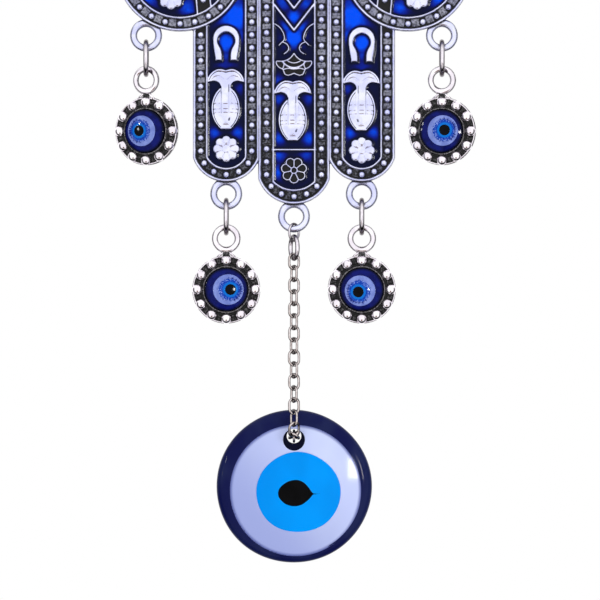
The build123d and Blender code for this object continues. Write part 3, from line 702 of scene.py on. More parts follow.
        return points, [quads, triangles, np.concatenate(walls), caps], np.concatenate(oxide)


# Finishes


def linear(code: str) -> tuple[float, float, float, float]:
    """Turns an sRGB hex colour into the linear one that a shader takes.

    Args:
        code: the hex colour.

    Returns:
        Red, green, blue and alpha.
    """
    shares = [int(code[at : at + 2], 16) / 255 for at in (1, 3, 5)]
    red, green, blue = (s / 12.92 if s <= 0.04045 else ((s + 0.055) / 1.055) ** 2.4 for s in shares)
    return red, green, blue, 1.0


def add_node(tree: bpy.types.NodeTree, kind: str, settings: dict, inputs: dict) -> bpy.types.Node:
    """Adds one node.

    Args:
        tree: the nodes of a material or of the world.
        kind: the node's type, after its prefix.
        settings: its properties.
        inputs: values, hex colours or sockets for its inputs, by name or number.

    Returns:
        The node.
    """
    node = tree.nodes.new(f"ShaderNode{kind}")
    for name, value in settings.items():
        setattr(node, name, value)
    for name, value in inputs.items():
        if isinstance(value, Socket):
            tree.links.new(value, node.inputs[name])
        else:
            node.inputs[name].default_value = linear(value) if isinstance(value, str) else value
    return node


@dataclass
class Bench:
    """The nodes of a new material or world, and the steps that finishes share.

    Args:
        owner: the material or world.
    """

    owner: Material | bpy.types.World

    def __post_init__(self) -> None:
        """Turns its nodes on."""
        self.owner.use_nodes = True
        self.tree = self.owner.node_tree

    def add(self, kind: str, output: str | int = 0, **settings: object) -> Socket:
        """Adds a node by its settings alone, or with a dictionary of inputs, and returns one output.

        Args:
            kind: the node's type, after its prefix.
            output: the output, by name or number.
            settings: its properties; inputs holds its inputs.

        Returns:
            The output.
        """
        inputs = settings.pop("inputs", {})
        return add_node(self.tree, kind, settings, inputs).outputs[output]

    def noise(self, size: float, detail: float = 3.0, stretch: Sequence[float] = (1, 1, 1)) -> Socket:
        """Noise from 0 to 1 whose lumps are about a size in millimetres, stretched along an axis.

        Args:
            size: size of the lumps.
            detail: how many finer layers it has.
            stretch: its scale along each axis.

        Returns:
            The noise.
        """
        sizes = {0: self.add("TexCoord", "Object"), 1: tuple(s / (size * METRES) for s in stretch)}
        place = self.add("VectorMath", operation="MULTIPLY", inputs=sizes)
        return self.add("TexNoise", "Fac", inputs={"Vector": place, "Scale": 1.0, "Detail": detail})

    def mark(self, name: str) -> Socket:
        """A number that the mesh carries."""
        return self.add("Attribute", "Fac", attribute_name=name)

    def facing(self) -> Socket:
        """How far the surface faces the front or the back, from the mesh itself."""
        back = self.add("SeparateXYZ", "Y", inputs={0: self.add("TexCoord", "Normal")})
        return self.sum("ABSOLUTE", back, 0.0)

    def span(self, value: Socket, low: float, high: float, first: float, last: float) -> Socket:
        """Takes low to high softly to first to last."""
        inputs = {0: value, 1: low, 2: high, 3: first, 4: last}
        return self.add("MapRange", interpolation_type="SMOOTHSTEP", inputs=inputs)

    def sum(self, operation: str, first: object, second: object, clamp: bool = True) -> Socket:
        """One sum of two numbers, kept from 0 to 1 unless told otherwise."""
        return self.add("Math", operation=operation, use_clamp=clamp, inputs={0: first, 1: second})

    def blend(self, share: Socket, first: object, second: object) -> Socket:
        """Mixes two colours by a share."""
        return self.add("Mix", 2, data_type="RGBA", inputs={0: share, 6: first, 7: second})

    def mottle(self, noise: Socket, first: str, second: str, edge: float = 0.35) -> Socket:
        """Two colours that drift into each other with a noise."""
        return self.blend(self.span(noise, edge, 1 - edge, 0, 1), first, second)

    def bump(self, height: Socket, depth: float, strength: float, under: Socket | None = None) -> Socket:
        """Bumps of a depth in millimetres, laid over others if given.

        Args:
            height: the height, from 0 to 1.
            depth: the depth that 1 stands for.
            strength: how strongly it shows.
            under: the bumps below these, if any.

        Returns:
            The normal.
        """
        inputs: dict = {"Height": height, "Distance": depth * METRES, "Strength": strength}
        if under is not None:
            inputs["Normal"] = under
        return self.add("Bump", "Normal", inputs=inputs)

    def finish(self, **inputs: object) -> Material:
        """Sets the shader's inputs, by names with underscores for spaces, and returns the material.

        Args:
            inputs: a value or socket for each input.

        Returns:
            The material.
        """
        for name, value in inputs.items():
            socket = self.tree.nodes["Principled BSDF"].inputs[name.replace("_", " ")]
            if isinstance(value, Socket):
                self.tree.links.new(value, socket)
            else:
                socket.default_value = value
        return self.owner


def new_bench(name: str) -> Bench:
    """A bench with a new material."""
    return Bench(bpy.data.materials.new(name))


@dataclass(frozen=True)
class AntiquedSilver:
    """Zinc die casting with a silver plate, blackened with oxide and rubbed bright on what stands up.

    Args:
        name: the material's name.
        polish: roughness where it is rubbed bright.
        bright: colour of the rubbed silver.
        shade: colour of its duller clouds.
        oxide: colour of the oxide, and of the painted shade along the loops' sides.
        grain: size of the cast skin's grain.
        cloud: size of the clouds that rubbing leaves.
    """

    name: str
    polish: float
    bright: str = "#e6e8ff"
    shade: str = "#d0d3f8"
    oxide: str = "#050507"
    grain: float = 0.3
    cloud: float = 2.4

    def material(self) -> Material:
        """Bright tops with a pale violet cast, black floors with grey rubbed through, a grained skin.

        Returns:
            The material.
        """
        bench = new_bench(self.name)
        grain, cloud = bench.noise(self.grain, 4.0), bench.noise(self.cloud, 2.0)
        # The oxide mark is oxide in the hollows and joints, and painted shade along the loops' sides.
        patchy = bench.sum("MULTIPLY", bench.span(grain, 0.35, 0.7, 0.8, 1.15), bench.mark("oxide"))
        dark = bench.span(patchy, 0.05, 0.85, 0.0, 1.0)
        return bench.finish(
            Base_Color=bench.blend(dark, bench.mottle(cloud, self.bright, self.shade), self.oxide),
            Metallic=bench.span(dark, 0, 1, 1.0, 0.35),
            Roughness=bench.span(dark, 0, 1, self.polish, 0.55),
            Normal=bench.bump(cloud, 0.04, 0.15, bench.bump(grain, 0.01, 0.2)),
        )


@dataclass(frozen=True)
class DrawnWire:
    """Nickel-plated wire, drawn through a die and wound into rings or links.

    Args:
        name: the material's name.
        bright: colour of the plate.
        shade: colour of its duller streaks.
        side_shade: colour of the painted shade on its sides, where it is seen edge-on from the front.
        roughness: how soft its shine is.
        streak: width of the drawing marks.
    """

    name: str
    bright: str
    shade: str
    side_shade: str
    roughness: float
    streak: float

    def material(self) -> Material:
        """A clear shine with faint streaks and tiny dents, with painted shade on the sides that face across
        rather than to the front or back.

        Returns:
            The material.
        """
        bench = new_bench(self.name)
        streak, dent = bench.noise(self.streak, 3.0, (1, 1, 0.2)), bench.noise(4 * self.streak, 2.0)
        plate = bench.mottle(streak, self.bright, self.shade)
        return bench.finish(
            # Painted shade: the sides that face across, not to the front or back, take the dark colour.
            Base_Color=bench.blend(bench.span(bench.facing(), 0.45, 0.98, 1, 0), plate, self.side_shade),
            Metallic=1.0,
            Roughness=bench.span(dent, 0.3, 0.7, self.roughness, self.roughness + 0.1),
            Normal=bench.bump(dent, 0.05, 0.2, bench.bump(streak, 0.02, 0.15)),
        )


@dataclass(frozen=True)
class PouredEnamel:
    """Cold enamel: a tinted epoxy poured into the cells, clear blue where wide, with painted shade
    darkening it at the walls.

    Args:
        open_blue: colour in the open.
        deep_blue: colour a little in from the walls.
        wall_shade_blue: painted shade colour at the walls.
        swirl: size of the clouds in the pour.
    """

    open_blue: str = "#004ff6"
    deep_blue: str = "#0a1680"
    wall_shade_blue: str = "#0a0f2c"
    swirl: float = 1.3

    def material(self) -> Material:
        """A wet blue gloss with a dark border of painted shade along the walls.

        Returns:
            The material.
        """
        bench = new_bench("poured_blue_enamel")
        swirl, fleck = bench.noise(self.swirl, 2.0), bench.noise(0.15, 2.0)
        share = bench.sum("MULTIPLY", bench.mark("open"), bench.span(swirl, 0.3, 0.7, 0.85, 1.15))
        # Painted shade: the colour darkens towards the walls, as the open mark falls.
        wall = bench.blend(bench.span(share, 0.02, 0.3, 0, 1), self.wall_shade_blue, self.deep_blue)
        return bench.finish(
            Base_Color=bench.blend(bench.span(share, 0.15, 0.8, 0, 1), wall, self.open_blue),
            Roughness=bench.span(fleck, 0.3, 0.7, 0.06, 0.14),
            IOR=1.5,
            Specular_IOR_Level=0.05,
            Normal=bench.bump(swirl, 0.05, 0.15),
        )


@dataclass(frozen=True)
class KilnGlass:
    """Soda-lime glass, melted over a flame and pressed flat, in one colour.

    Args:
        name: the material's name.
        colour: its colour.
        streak_colour: colour of the streaks in it.
        streak: size of the streaks.
        edge_colour: colour that bleeds in at its outer edge, if any.
        lower_left_shade: painted shade towards the lower left, away from the key lamp, if any.
        slant: the way from the lower left to the upper right.
        shade_span: where along that way the painted shade starts to fade and where it ends, in metres.
    """

    name: str
    colour: str
    streak_colour: str
    streak: float
    edge_colour: str = ""
    lower_left_shade: str = ""
    slant: Point3 = (0.75, 0.0, 0.66)
    shade_span: Point = (-0.104, -0.082)

    def material(self) -> Material:
        """A wet gloss over a colour that drifts a little, with the faint ripple of pressed glass.

        Returns:
            The material.
        """
        bench = new_bench(self.name)
        streak, ripple = bench.noise(self.streak, 2.0, (1, 1, 0.6)), bench.noise(6.0, 1.0)
        colour = bench.mottle(streak, self.colour, self.streak_colour, 0.3)
        if self.lower_left_shade:
            inputs = {0: bench.add("TexCoord", "Object"), 1: self.slant}
            way = bench.add("VectorMath", "Value", operation="DOT_PRODUCT", inputs=inputs)
            # Painted shade: darker towards the lower left, away from the key lamp.
            colour = bench.blend(bench.span(way, *self.shade_span, 1.0, 0.0), colour, self.lower_left_shade)
        if self.edge_colour:
            soft = bench.span(bench.mark("edge"), 0.02, 0.75, 0.9, 0.0)
            colour = bench.blend(soft, colour, self.edge_colour)
        return bench.finish(
            Base_Color=colour,
            Roughness=bench.span(streak, 0.2, 0.8, 0.03, 0.07),
            IOR=1.52,
            Specular_IOR_Level=0.04,
            Normal=bench.bump(ripple, 0.1, 0.12),
        )


class EyeColour(Enum):
    """The four colours of a cabochon."""

    BASE = "base"
    WHITE = "white"
    IRIS = "iris"
    PUPIL = "pupil"


@dataclass(frozen=True)
class PrintedResin:
    """An epoxy dome over a printed eye: four colours under one clear gloss.

    Args:
        colour: which of the four colours.
        ring: radius of the bright ring round the pupil.
        ragged: radius where the blue breaks up into the white.
        speck: size of the specks in the print.
        teeth: how far the ragged edges reach in and out.
    """

    colour: EyeColour
    ring: float = 1.52
    ragged: float = 2.15
    speck: float = 0.22
    teeth: float = 0.3

    def material(self) -> Material:
        """Flat print colours with ragged, speckled edges, deep under the dome.

        Returns:
            The material.
        """
        bench = new_bench(f"resin_eye_{self.colour.value}")
        speck, drift, reach = bench.noise(self.speck, 3.0), bench.noise(1.4, 2.0), bench.mark("reach")
        inputs = {0: bench.mark("tooth"), 1: -self.teeth, 2: reach}
        torn = bench.add("Math", operation="MULTIPLY_ADD", inputs=inputs)
        if self.colour is EyeColour.BASE:
            rim = bench.span(bench.mark("rim"), 3.6, 4.3, 0, 1)
            colour = bench.blend(rim, bench.mottle(drift, "#10196c", "#0a1154"), "#04061c")
        elif self.colour is EyeColour.WHITE:
            edge = bench.span(torn, self.ragged - 0.1, self.ragged + 0.35, 1.0, 0.0)
            broken = bench.sum("MULTIPLY", edge, bench.span(speck, 0.36, 0.46, 0.35, 1))
            colour = bench.blend(broken, bench.mottle(drift, "#8697dc", "#7182cb"), "#0a2078")
        elif self.colour is EyeColour.IRIS:
            outer = bench.span(torn, self.ragged - 0.5, self.ragged, 0, 1)
            pale_specks = bench.sum("MULTIPLY", outer, bench.span(speck, 0.5, 0.58, 0, 1))
            mixed = bench.blend(pale_specks, bench.mottle(speck, "#0a34a0", "#1450c0", 0.4), "#8ea2ea")
            bright = bench.span(reach, self.ring - 0.12, self.ring + 0.1, 1, 0)
            colour = bench.blend(bright, mixed, "#0c70d2")
        else:
            colour = bench.mottle(drift, "#040406", "#0a0a12", 0.3)
        return bench.finish(
            Base_Color=colour,
            Roughness=bench.span(speck, 0.2, 0.8, 0.05, 0.09),
            IOR=1.55,
            Specular_IOR_Level=0.05,
            Normal=bench.bump(drift, 0.03, 0.1),
        )


def fit(piece: bpy.types.Object, body: str, node: str, finish: Material) -> None:
    """Dresses a piece, hangs it on its body and sets it in place of a CAD node.

    Args:
        piece: the object.
        body: the CAD body that it moves with.
        node: the CAD node that it stands for.
        finish: its material.
    """
    piece.data.materials.clear()
    piece.data.materials.append(finish)
    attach(piece, body)
    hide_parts(node)
    log.info("%s: %d points on %s", piece.name, len(piece.data.vertices), body)


# The hand


@dataclass(frozen=True)
class Finger:
    """One finger of the casting.

    Args:
        centre: its middle, across.
        half_width: half its width.
        drop: how far down its tip is.
        rise: how far the arc of the tip rises.
        panel_half_width: half the panel's width.
        panel_lift: from the tip up to the panel.
        panel_rise: how far the arc of the panel's end rises.
    """

    centre: float
    half_width: float
    drop: float
    rise: float
    panel_half_width: float
    panel_lift: float
    panel_rise: float

    def outline(self, top: float) -> Area:
        """The finger's outline up to a height."""
        return fingertip(self.centre, self.half_width, self.drop, self.rise, top)

    def panel(self, top: float) -> Area:
        """The panel's outline up to a height."""
        drop = self.drop - self.panel_lift
        return fingertip(self.centre, self.panel_half_width, drop, self.panel_rise, top)

    def beads(self, rim: float, pitch: float, top: float) -> list[Point]:
        """Bead places round the channel between the rim and the panel, from one side to the other.

        Args:
            rim: width of the rim.
            pitch: the way from bead to bead.
            top: the height that they go up to.

        Returns:
            The places.
        """
        half = (self.half_width - rim + self.panel_half_width) / 2
        drop = (self.drop - rim + self.drop - self.panel_lift) / 2
        rise = (self.rise + self.panel_rise) / 2
        radius = (half**2 + rise**2) / (2 * rise)
        reach = radius * math.asin(half / radius)
        count = int((reach + drop - rise + top) / pitch)
        places = []
        for number in range(-count, count + 1):
            along, hand = abs(number) * pitch, 1 if number > 0 else -1
            across, up = half, rise - drop + along - reach
            if along < reach:
                angle = along / radius
                across, up = radius * math.sin(angle), radius * (1 - math.cos(angle)) - drop
            places.append((self.centre + hand * across, up))
        return places


Spots = Sequence[tuple[float, float, float, float]]
Shares = tuple[Point, Point, Point]


@dataclass
class HandDie:
    """The die that the hand is cast in: its areas, raised shapes, engraved lines and beads.

    Args:
        leaf_shares: three points of each side of a lobe's leaf panel, as shares of the lobe's radius.
        raised: the shapes that stand up, filled in as the die is cut.
        grooves: the engraved lines.
        beads: places of the beads.
        bosses: places of the two bosses.
        cells: areas without enamel.
        pools: bright patches in the enamel: across, up, radius and strength.
    """

    floor: float = -0.3
    back: float = 1.0
    pitch: float = 0.12
    rim_height: float = 0.7
    rim_width: float = 0.62
    bead_rim: float = 0.56
    line_width: float = 0.5
    fine_line: float = 0.34
    fine_height: float = 0.55
    motif_height: float = 0.6
    bead_radius: float = 0.66
    bead_pitch: float = 2.58
    side_centre: float = 13.55
    lobe_radius: float = 12.95
    lobe_ring: float = 10.2
    lobe_reach: float = 22.8
    lobe_drop: float = 36.35
    lobe_beads: int = 24
    leaf_line: float = 0.46
    leaf_shares: tuple[Shares, Shares] = (
        ((0.255, -0.93), (0.147, -0.077), (-0.046, 0.432)),
        ((-0.734, -0.811), (-0.432, -0.031), (-0.046, 0.432)),
    )
    palm_drop: float = 18.7
    palm_radius: float = 15.8
    palm_ring: float = 13.05
    palm_beads: int = 30
    ring_half_line: float = 0.23
    petal_start: float = 7.32
    petal_length: float = 4.9
    petal_half_width: float = 1.35
    bezel_radius: float = 6.6
    bezel_wall: float = 0.85
    bezel_height: float = 1.4
    shoulder_radius: float = 12.0
    strip_top: float = -28.58
    raised: list[Raised] = field(default_factory=list)
    grooves: list[Groove] = field(default_factory=list)
    beads: list[Point] = field(default_factory=list)
    bosses: list[Point] = field(default_factory=list)
    cells: list[Area] = field(default_factory=list)
    pools: list[tuple[float, float, float, float]] = field(default_factory=list)

    def __post_init__(self) -> None:
        """Lays out the hand's areas, then cuts every shape."""
        self.palm_centre = (0.0, -self.palm_drop)
        self.lobe_centres = {side: (side * self.lobe_reach, -self.lobe_drop) for side in (-1, 1)}
        self.palm = disc(self.palm_centre, self.palm_radius)
        self.lobes = {side: disc(centre, self.lobe_radius) for side, centre in self.lobe_centres.items()}
        self.fingers = {"middle": Finger(0.0, 7.17, 83.9, 5.1, 4.38, 2.6, 1.9)}
        for name, side in SIDES.items():
            self.fingers[name] = Finger(side * self.side_centre, 6.66, 79.4, 4.8, 4.1, 2.41, 2.5)
        below = Area(lambda x, z: self.strip_top - z)
        self.strips = below & -self.palm & -self.lobes[-1] & -self.lobes[1]
        self.whole = self.outline()
        self.cut_rims()
        self.cut_middle_finger()
        self.cut_side_fingers()
        self.cut_lobes()
        self.cut_palm()
        self.bosses = self.boss_places()

    def raise_up(self, area: Area, top: float, slope: float, tone: float = 0.0) -> None:
        """Adds a raised shape."""
        self.raised.append(Raised(area, top, slope, tone))

    def engrave(self, points: Sequence[Point], width: float, depth: float, tone: float) -> None:
        """Adds an engraved line."""
        self.grooves.append(Groove(points, width, depth, tone))

    def pour(self, centre: Point, side: int, spots: Spots) -> None:
        """Adds bright patches, given about a centre and towards a side."""
        x, z = centre
        self.pools += [(x + side * across, z + up, radius, share) for across, up, radius, share in spots]

    def shoulder(self) -> tuple[Point, Point, Point]:
        """The right shoulder: its circle's centre and where it meets the palm and the lobe.

        Returns:
            The three points.
        """
        palm, lobe = self.palm_radius + self.shoulder_radius, self.lobe_radius + self.shoulder_radius
        rise = self.lobe_drop - self.palm_drop
        span = math.hypot(self.lobe_reach, rise)
        along = (palm**2 - lobe**2 + span**2) / (2 * span)
        across = math.sqrt(palm**2 - along**2)
        x = (along * self.lobe_reach + across * rise) / span
        z = (across * self.lobe_reach - along * rise) / span - self.palm_drop
        share, other = self.palm_radius / palm, self.lobe_radius / lobe
        on_palm = (x * share, (z + self.palm_drop) * share - self.palm_drop)
        lobe_x, lobe_z = self.lobe_centres[1]
        on_lobe = (lobe_x + (x - lobe_x) * other, lobe_z + (z - lobe_z) * other)
        return (x, z), on_palm, on_lobe

    def shoulder_area(self, side: int) -> Area:
        """What fills the corner between the palm and a lobe.

        Args:
            side: 1 for the right, -1 for the left.

        Returns:
            The area.
        """
        centre, on_palm, on_lobe = self.shoulder()
        ends = [on_palm, on_lobe, self.lobe_centres[1], (0, -self.lobe_drop), self.palm_centre]
        hollow = disc((side * centre[0], centre[1]), self.shoulder_radius)
        return polygon([(side * x, z) for x, z in ends]) & -hollow

    def outline(self) -> Area:
        """The outline of the whole casting.

        Returns:
            The area.
        """
        reach = self.lobe_reach + self.lobe_radius
        box = (-reach, reach, -self.fingers["middle"].drop, self.palm_radius - self.palm_drop)
        columns = [finger.outline(-self.lobe_drop) for finger in self.fingers.values()]
        rounds = [self.palm, *self.lobes.values(), *(self.shoulder_area(side) for side in (-1, 1))]

        def inside(x: Array, z: Array) -> Array:
            """The union, with each finger's sides ended at the lobes.

            Args:
                x: places, across.
                z: places, up.

            Returns:
                The distances.
            """
            value = np.maximum.reduce([area.inside(x, z) for area in rounds])
            for column in columns:
                value = np.maximum(value, np.minimum(column.inside(x, z), -self.lobe_drop + 6 - z))
            return value

        return Area(inside, box)

    def cut_rims(self) -> None:
        """The rims and lines that bound the fingers, the lobes, the palm and the shoulders."""
        height, wide, narrow = self.rim_height, self.rim_width, self.line_width
        for finger in self.fingers.values():
            rim = finger.outline(self.strip_top).line(0, wide)
            panel = finger.panel(self.strip_top).line(-0.02, narrow)
            self.raise_up(rim & self.strips, height, wide / 2)
            self.raise_up(panel & self.strips, height, narrow / 2)
        rings = [(self.palm, self.palm_centre, self.palm_ring)]
        rings += [(self.lobes[side], self.lobe_centres[side], self.lobe_ring) for side in (-1, 1)]
        for area, centre, ring in rings:
            self.raise_up(area.line(0, wide), height, wide / 2)
            self.raise_up(disc(centre, ring + narrow / 2).line(0, narrow), height, narrow / 2)
        (x, z), on_palm, on_lobe = self.shoulder()
        for side in (-1, 1):
            rim = disc((side * x, z), self.shoulder_radius).line(-wide, wide)
            ends = (on_palm, on_lobe, self.lobe_centres[1], self.palm_centre)
            near = polygon([(side * a, b) for a, b in ends])
            apart = near.grown(1.0) & -self.palm & -self.lobes[side]
            self.raise_up(Area(rim.inside, near.box) & apart, height, wide / 2)

    def add_beads(self, beads: Sequence[Point], limit: float, width: float, ring: bool = False) -> None:
        """Adds beads, and between neighbours low grey pads that are darker towards the fingertips.

        Args:
            beads: places of the beads, in order.
            limit: the longest way between neighbours.
            width: the pads' width.
            ring: whether the last bead is next to the first.
        """
        self.beads += beads
        for first, second in zip(beads, [*beads[1:], *(beads[:1] if ring else [])]):
            way = (second[0] - first[0], second[1] - first[1])
            span = math.hypot(*way)
            if span < limit:
                middle = ((first[0] + second[0]) / 2, (first[1] + second[1]) / 2)
                tone = 0.6 + 0.22 * float(smooth(np.array(-middle[1]), 55.0, 80.0))
                area = pad(middle, way, span - 2 * self.bead_radius + 0.05, width + 0.15)
                self.raise_up(area, 0.16, 0.5, tone)

    def bead_finger(self, finger: Finger) -> None:
        """Beads and pads of a finger, as far as the palm and the lobes.

        Args:
            finger: the finger.
        """
        rounds = (self.palm, *self.lobes.values())
        beads = [
            place
            for place in finger.beads(self.bead_rim, self.bead_pitch, self.strip_top)
            if min(-area.inside(*place) for area in rounds) > self.bead_radius
        ]
        self.add_beads(beads, 1.3 * self.bead_pitch, 1.7)

    def cut_middle_finger(self) -> None:
        """Beads, chevrons, leaf lines, lotus, fish, bar and open daisy of the middle finger."""
        finger = self.fingers["middle"]
        self.bead_finger(finger)
        half, foot = finger.panel_half_width - 0.1, 34.86 - finger.drop
        for number in range(3):
            line = stroke(shifted([(-half, 5.54), (0, 0), (half, 5.54)], (0, foot + number * 4.36)), 0.58)
            self.raise_up(line & -self.palm, self.motif_height, 0.29)
        self.cut_leaf_lines((0.0, -52.95))
        self.cut_lotus((0.0, -53.4))
        self.cut_fish((-0.25, -71.2), 1)
        bar = shifted([(-half, 0), (half, 0)], (0, 10.94 - finger.drop))
        self.raise_up(stroke(bar, self.line_width), self.motif_height, self.line_width / 2)
        self.cut_open_daisy((0.0, 6.82 - finger.drop), 2.66, 7)
        spots = [(0, -50.5, 1.7, 1.0), (1.5, -48.4, 1.2, 0.5), (-1.5, -48.4, 1.2, 0.5)]
        spots += [(0, -46.4, 1.2, 0.75), (2.2, -43.6, 1.4, 0.45), (-2.2, -43.6, 1.4, 0.45)]
        spots += [(-3.2, -59.3, 1.1, 0.4), (3.2, -59.3, 1.1, 0.3), (-3.1, -62.8, 1.0, 0.45)]
        spots += [(3.1, -62.8, 1.0, 0.4), (-3.0, -70.7, 1.1, 0.5), (3.0, -70.7, 1.2, 0.55)]
        spots += [(-3.0, -74.0, 1.2, 0.55), (2.6, -73.8, 1.3, 0.4), (-3.3, -77.4, 1.3, 0.55)]
        spots += [(0, -38.0, 3.0, 0.7), (0, -32.5, 2.5, 0.6)]
        self.pour((0, 0), 1, spots)

    def cut_side_fingers(self) -> None:
        """Beads, seam, horseshoe, fish and daisy of each side finger."""
        spots = [(-1.9, -46.3, 2.7, 1.0), (0, -51.6, 1.7, 0.9), (0, -54.2, 1.0, 0.35)]
        spots += [(-2.9, -50.0, 1.5, 0.5), (-2.4, -69.6, 1.0, 0.55), (2.4, -69.6, 1.0, 0.55)]
        spots += [(-2.9, -60.8, 1.0, 0.25), (0, -56.4, 1.8, 0.22)]
        for name, side in SIDES.items():
            finger = self.fingers[name]
            self.bead_finger(finger)
            seam = side * (self.side_centre - finger.half_width + self.fingers["middle"].half_width) / 2
            self.engrave([(seam, -33.4), (seam, -75.4)], 0.24, 0.22, 0.75)
            foot = -0.15 * side - finger.drop
            self.cut_horseshoe((finger.centre, 24.0 + foot))
            self.cut_fish((finger.centre - 0.1, 10.35 + foot), -side)
            self.cut_daisy((finger.centre, 6.45 + foot), 2.75)
            self.pour((finger.centre, 0), side, spots)

    def cut_leaf_lines(self, tip: Point) -> None:
        """The four curling lines above the lotus.

        Args:
            tip: the point that they are given about.
        """
        long = [(-4.0, 5.25), (-2.9, 4.5), (-2.2, 3.45), (-1.92, 2.5)]
        long += [(-2.05, 1.85), (-2.5, 1.4), (-3.0, 0.85)]
        short = [(-2.3, 1.5), (-1.55, 1.2), (-1.08, 0.5), (-1.25, -0.25), (-2.0, -0.85)]
        for points in (long, short):
            for side in (1, -1):
                line = stroke(flow(shifted(points, tip, side)), self.fine_line)
                self.raise_up(line, self.fine_height, self.fine_line / 2)

    def cut_lotus(self, tip: Point) -> None:
        """The lotus in lines, with bare oxide in its cells.

        Args:
            tip: its highest point.
        """
        half = [(0, 0), (0.8, -1.05), (1.7, -1.55), (2.5, -1.72), (3.45, -1.65)]
        half += [(3.72, -2.0), (3.6, -2.6), (3.1, -3.2), (2.35, -3.6)]
        half += [(2.15, -4.1), (1.9, -4.6), (1.25, -4.85), (0.6, -4.72), (0, -4.45)]
        edge = half[:1] + flow(half[:5], 4)[1:] + flow(half[4:9], 4)[1:] + flow(half[8:], 4)[1:]
        area = polygon(mirrored(edge, tip))
        self.cells.append(area)
        self.raise_up(area.line(0, self.fine_line), self.fine_height, self.fine_line / 2)
        lines = [arc((-1.6, -1.5), (0, -2.2), (1.6, -1.5)), arc((-2.3, -1.9), (0, -3.15), (2.3, -1.9))]
        lines += [flow([(side * 2.3, -1.8), (side * 2.0, -2.6), (side * 2.35, -3.5)]) for side in (-1, 1)]
        lines += [flow([(-2.35, -3.6), (-1.3, -3.3), (0, -3.45), (1.3, -3.3), (2.35, -3.6)])]
        for line, width in zip(lines, (0.3, 0.45, 0.3, 0.3, 0.3)):
            self.raise_up(stroke(shifted(line, tip), width) & area, self.fine_height, width / 2)

    def cut_fish(self, mouth: Point, hand: int) -> None:
        """A fish with its head down: a raised border, a banded body and one eye.

        Args:
            mouth: the tip of its mouth.
            hand: 1 or -1, for the way that its eye and bands lie.
        """
        tail = [(0, 11.9), (0.7, 12.1), (1.6, 12.12), (2.6, 11.65), (3.35, 10.85), (3.7, 10.0), (3.74, 9.3)]
        under = [(3.74, 9.3), (3.1, 9.5), (2.2, 9.6), (1.5, 9.35), (1.16, 8.9), (1.04, 8.4)]
        body = [(1.04, 8.4), (1.65, 7.85), (2.27, 6.95), (2.7, 5.8), (2.9, 4.4), (2.84, 3.4), (2.6, 2.4)]
        body += [(2.05, 1.25), (1.0, 0.0)]
        area = polygon(mirrored(flow(tail, 4)[:-1] + flow(under, 4)[:-1] + flow(body, 4), mouth))
        self.raise_up(area, self.motif_height - 0.12, 0.2)
        self.raise_up(area.grown(-0.3), self.motif_height + 0.12, 2.2)
        border = [(1.2, 7.65), (1.7, 7.0), (2.15, 6.1), (2.42, 5.1), (2.5, 4.2), (2.42, 3.2), (2.14, 2.2)]
        border += [(1.65, 1.25), (1.0, 0.45)]
        fin = [(3.3, 9.9), (2.9, 10.7), (2.2, 11.35), (1.4, 11.6), (0, 11.4)]
        ray = [(2.9, 9.95), (2.2, 10.5), (1.3, 10.65), (0.3, 9.9)]
        pairs = [(flow(border), 0.3, 0.16, 0.34), ([(2.4, 3.2), (0.85, 3.3)], 0.28, 0.1, 0.15)]
        pairs += [(flow(fin), 0.28, 0.15, 0.3), (flow(ray), 0.28, 0.12, 0.25)]
        pairs += [([(2.42, lift), (1.15, lift)], 0.28, 0.13, 0.22) for lift in (5.1, 3.98)]
        for line, width, depth, tone in pairs:
            for side in (1, -1):
                self.engrave(shifted(line, mouth, side), width, depth, tone)
        lines = [([(-0.96, 8.6), (-0.96, 3.3)], 0.3, 0.16, 0.34)]
        lines += [([(0.62, 8.9), (0.62, 3.3)], 0.3, 0.16, 0.34)]
        lines += [([(1.17, 7.2), (1.17, 5.1)], 0.26, 0.12, 0.25)]
        lines += [([(0.66, 1.85), (0.76, 2.15)], 0.42, 0.25, 0.7)]
        lines += [([(-0.5, lift), (0.42, lift)], 0.28, 0.12, 0.2) for lift in (5.05, 4.02, 3.3)]
        for line, width, depth, tone in lines:
            self.engrave(shifted(line, mouth, hand), width, depth, tone)

    def cut_horseshoe(self, foot: Point) -> None:
        """A horseshoe with its open end down.

        Args:
            foot: the middle of its open end.
        """
        x, z = foot
        half = arc((0, 7.2), (1.93, 6.38), (2.73, 4.47))
        half += [(2.69, 3.4), (2.5, 2.0), (2.26, 0.7), (2.24, 0.0)]
        half += [(0.78, 0.0), (0.76, 1.2), (0.84, 1.9), (1.05, 2.5), (1.37, 3.1)]
        half += arc((1.37, 3.1), (1.67, 4.07), (0, 5.74))[1:]
        arms = polygon(shifted(half, foot)) | polygon(shifted(half, foot, -1)[::-1])
        bow = disc((x, z + 4.47), 2.73) & -disc((x, z + 4.07), 1.67) & Area(lambda _, up: up - z - 4.6)
        area = arms | Area(bow.inside, (x - 2.8, x + 2.8, z + 4, z + 7.4))
        self.raise_up(area, self.motif_height, 0.36)
        for side in (-1, 1):
            nail = [(side * 1.5 - 0.4, 0.12), (side * 1.5 + 0.4, 0.12)]
            self.engrave(shifted(nail, foot), 0.3, 0.3, 0.9)

    def cut_daisy(self, centre: Point, radius: float, petals: int = 8) -> None:
        """A solid rosette: broad petals parted by fine lines about a round heart.

        Args:
            centre: its middle.
            radius: its radius.
            petals: how many petals it has.
        """
        petal = 0.37 * radius
        self.raise_up(disc(centre, 0.86 * radius), self.motif_height - 0.08, 0.25)
        for place in around(centre, 0.63 * radius, turns(petals, math.pi / 2)):
            self.raise_up(disc(place, petal), self.motif_height + 0.02, petal * 0.7)
        for angle in turns(petals, math.pi / 2 + math.pi / petals):
            line = [around(centre, share * radius, [angle])[0] for share in (0.32, 0.95)]
            self.engrave(line, 0.24, 0.14, 0.26)
        heart = around(centre, 0.29 * radius, list(np.linspace(0, FULL_TURN, 17)))
        self.engrave(heart, 0.24, 0.12, 0.22)

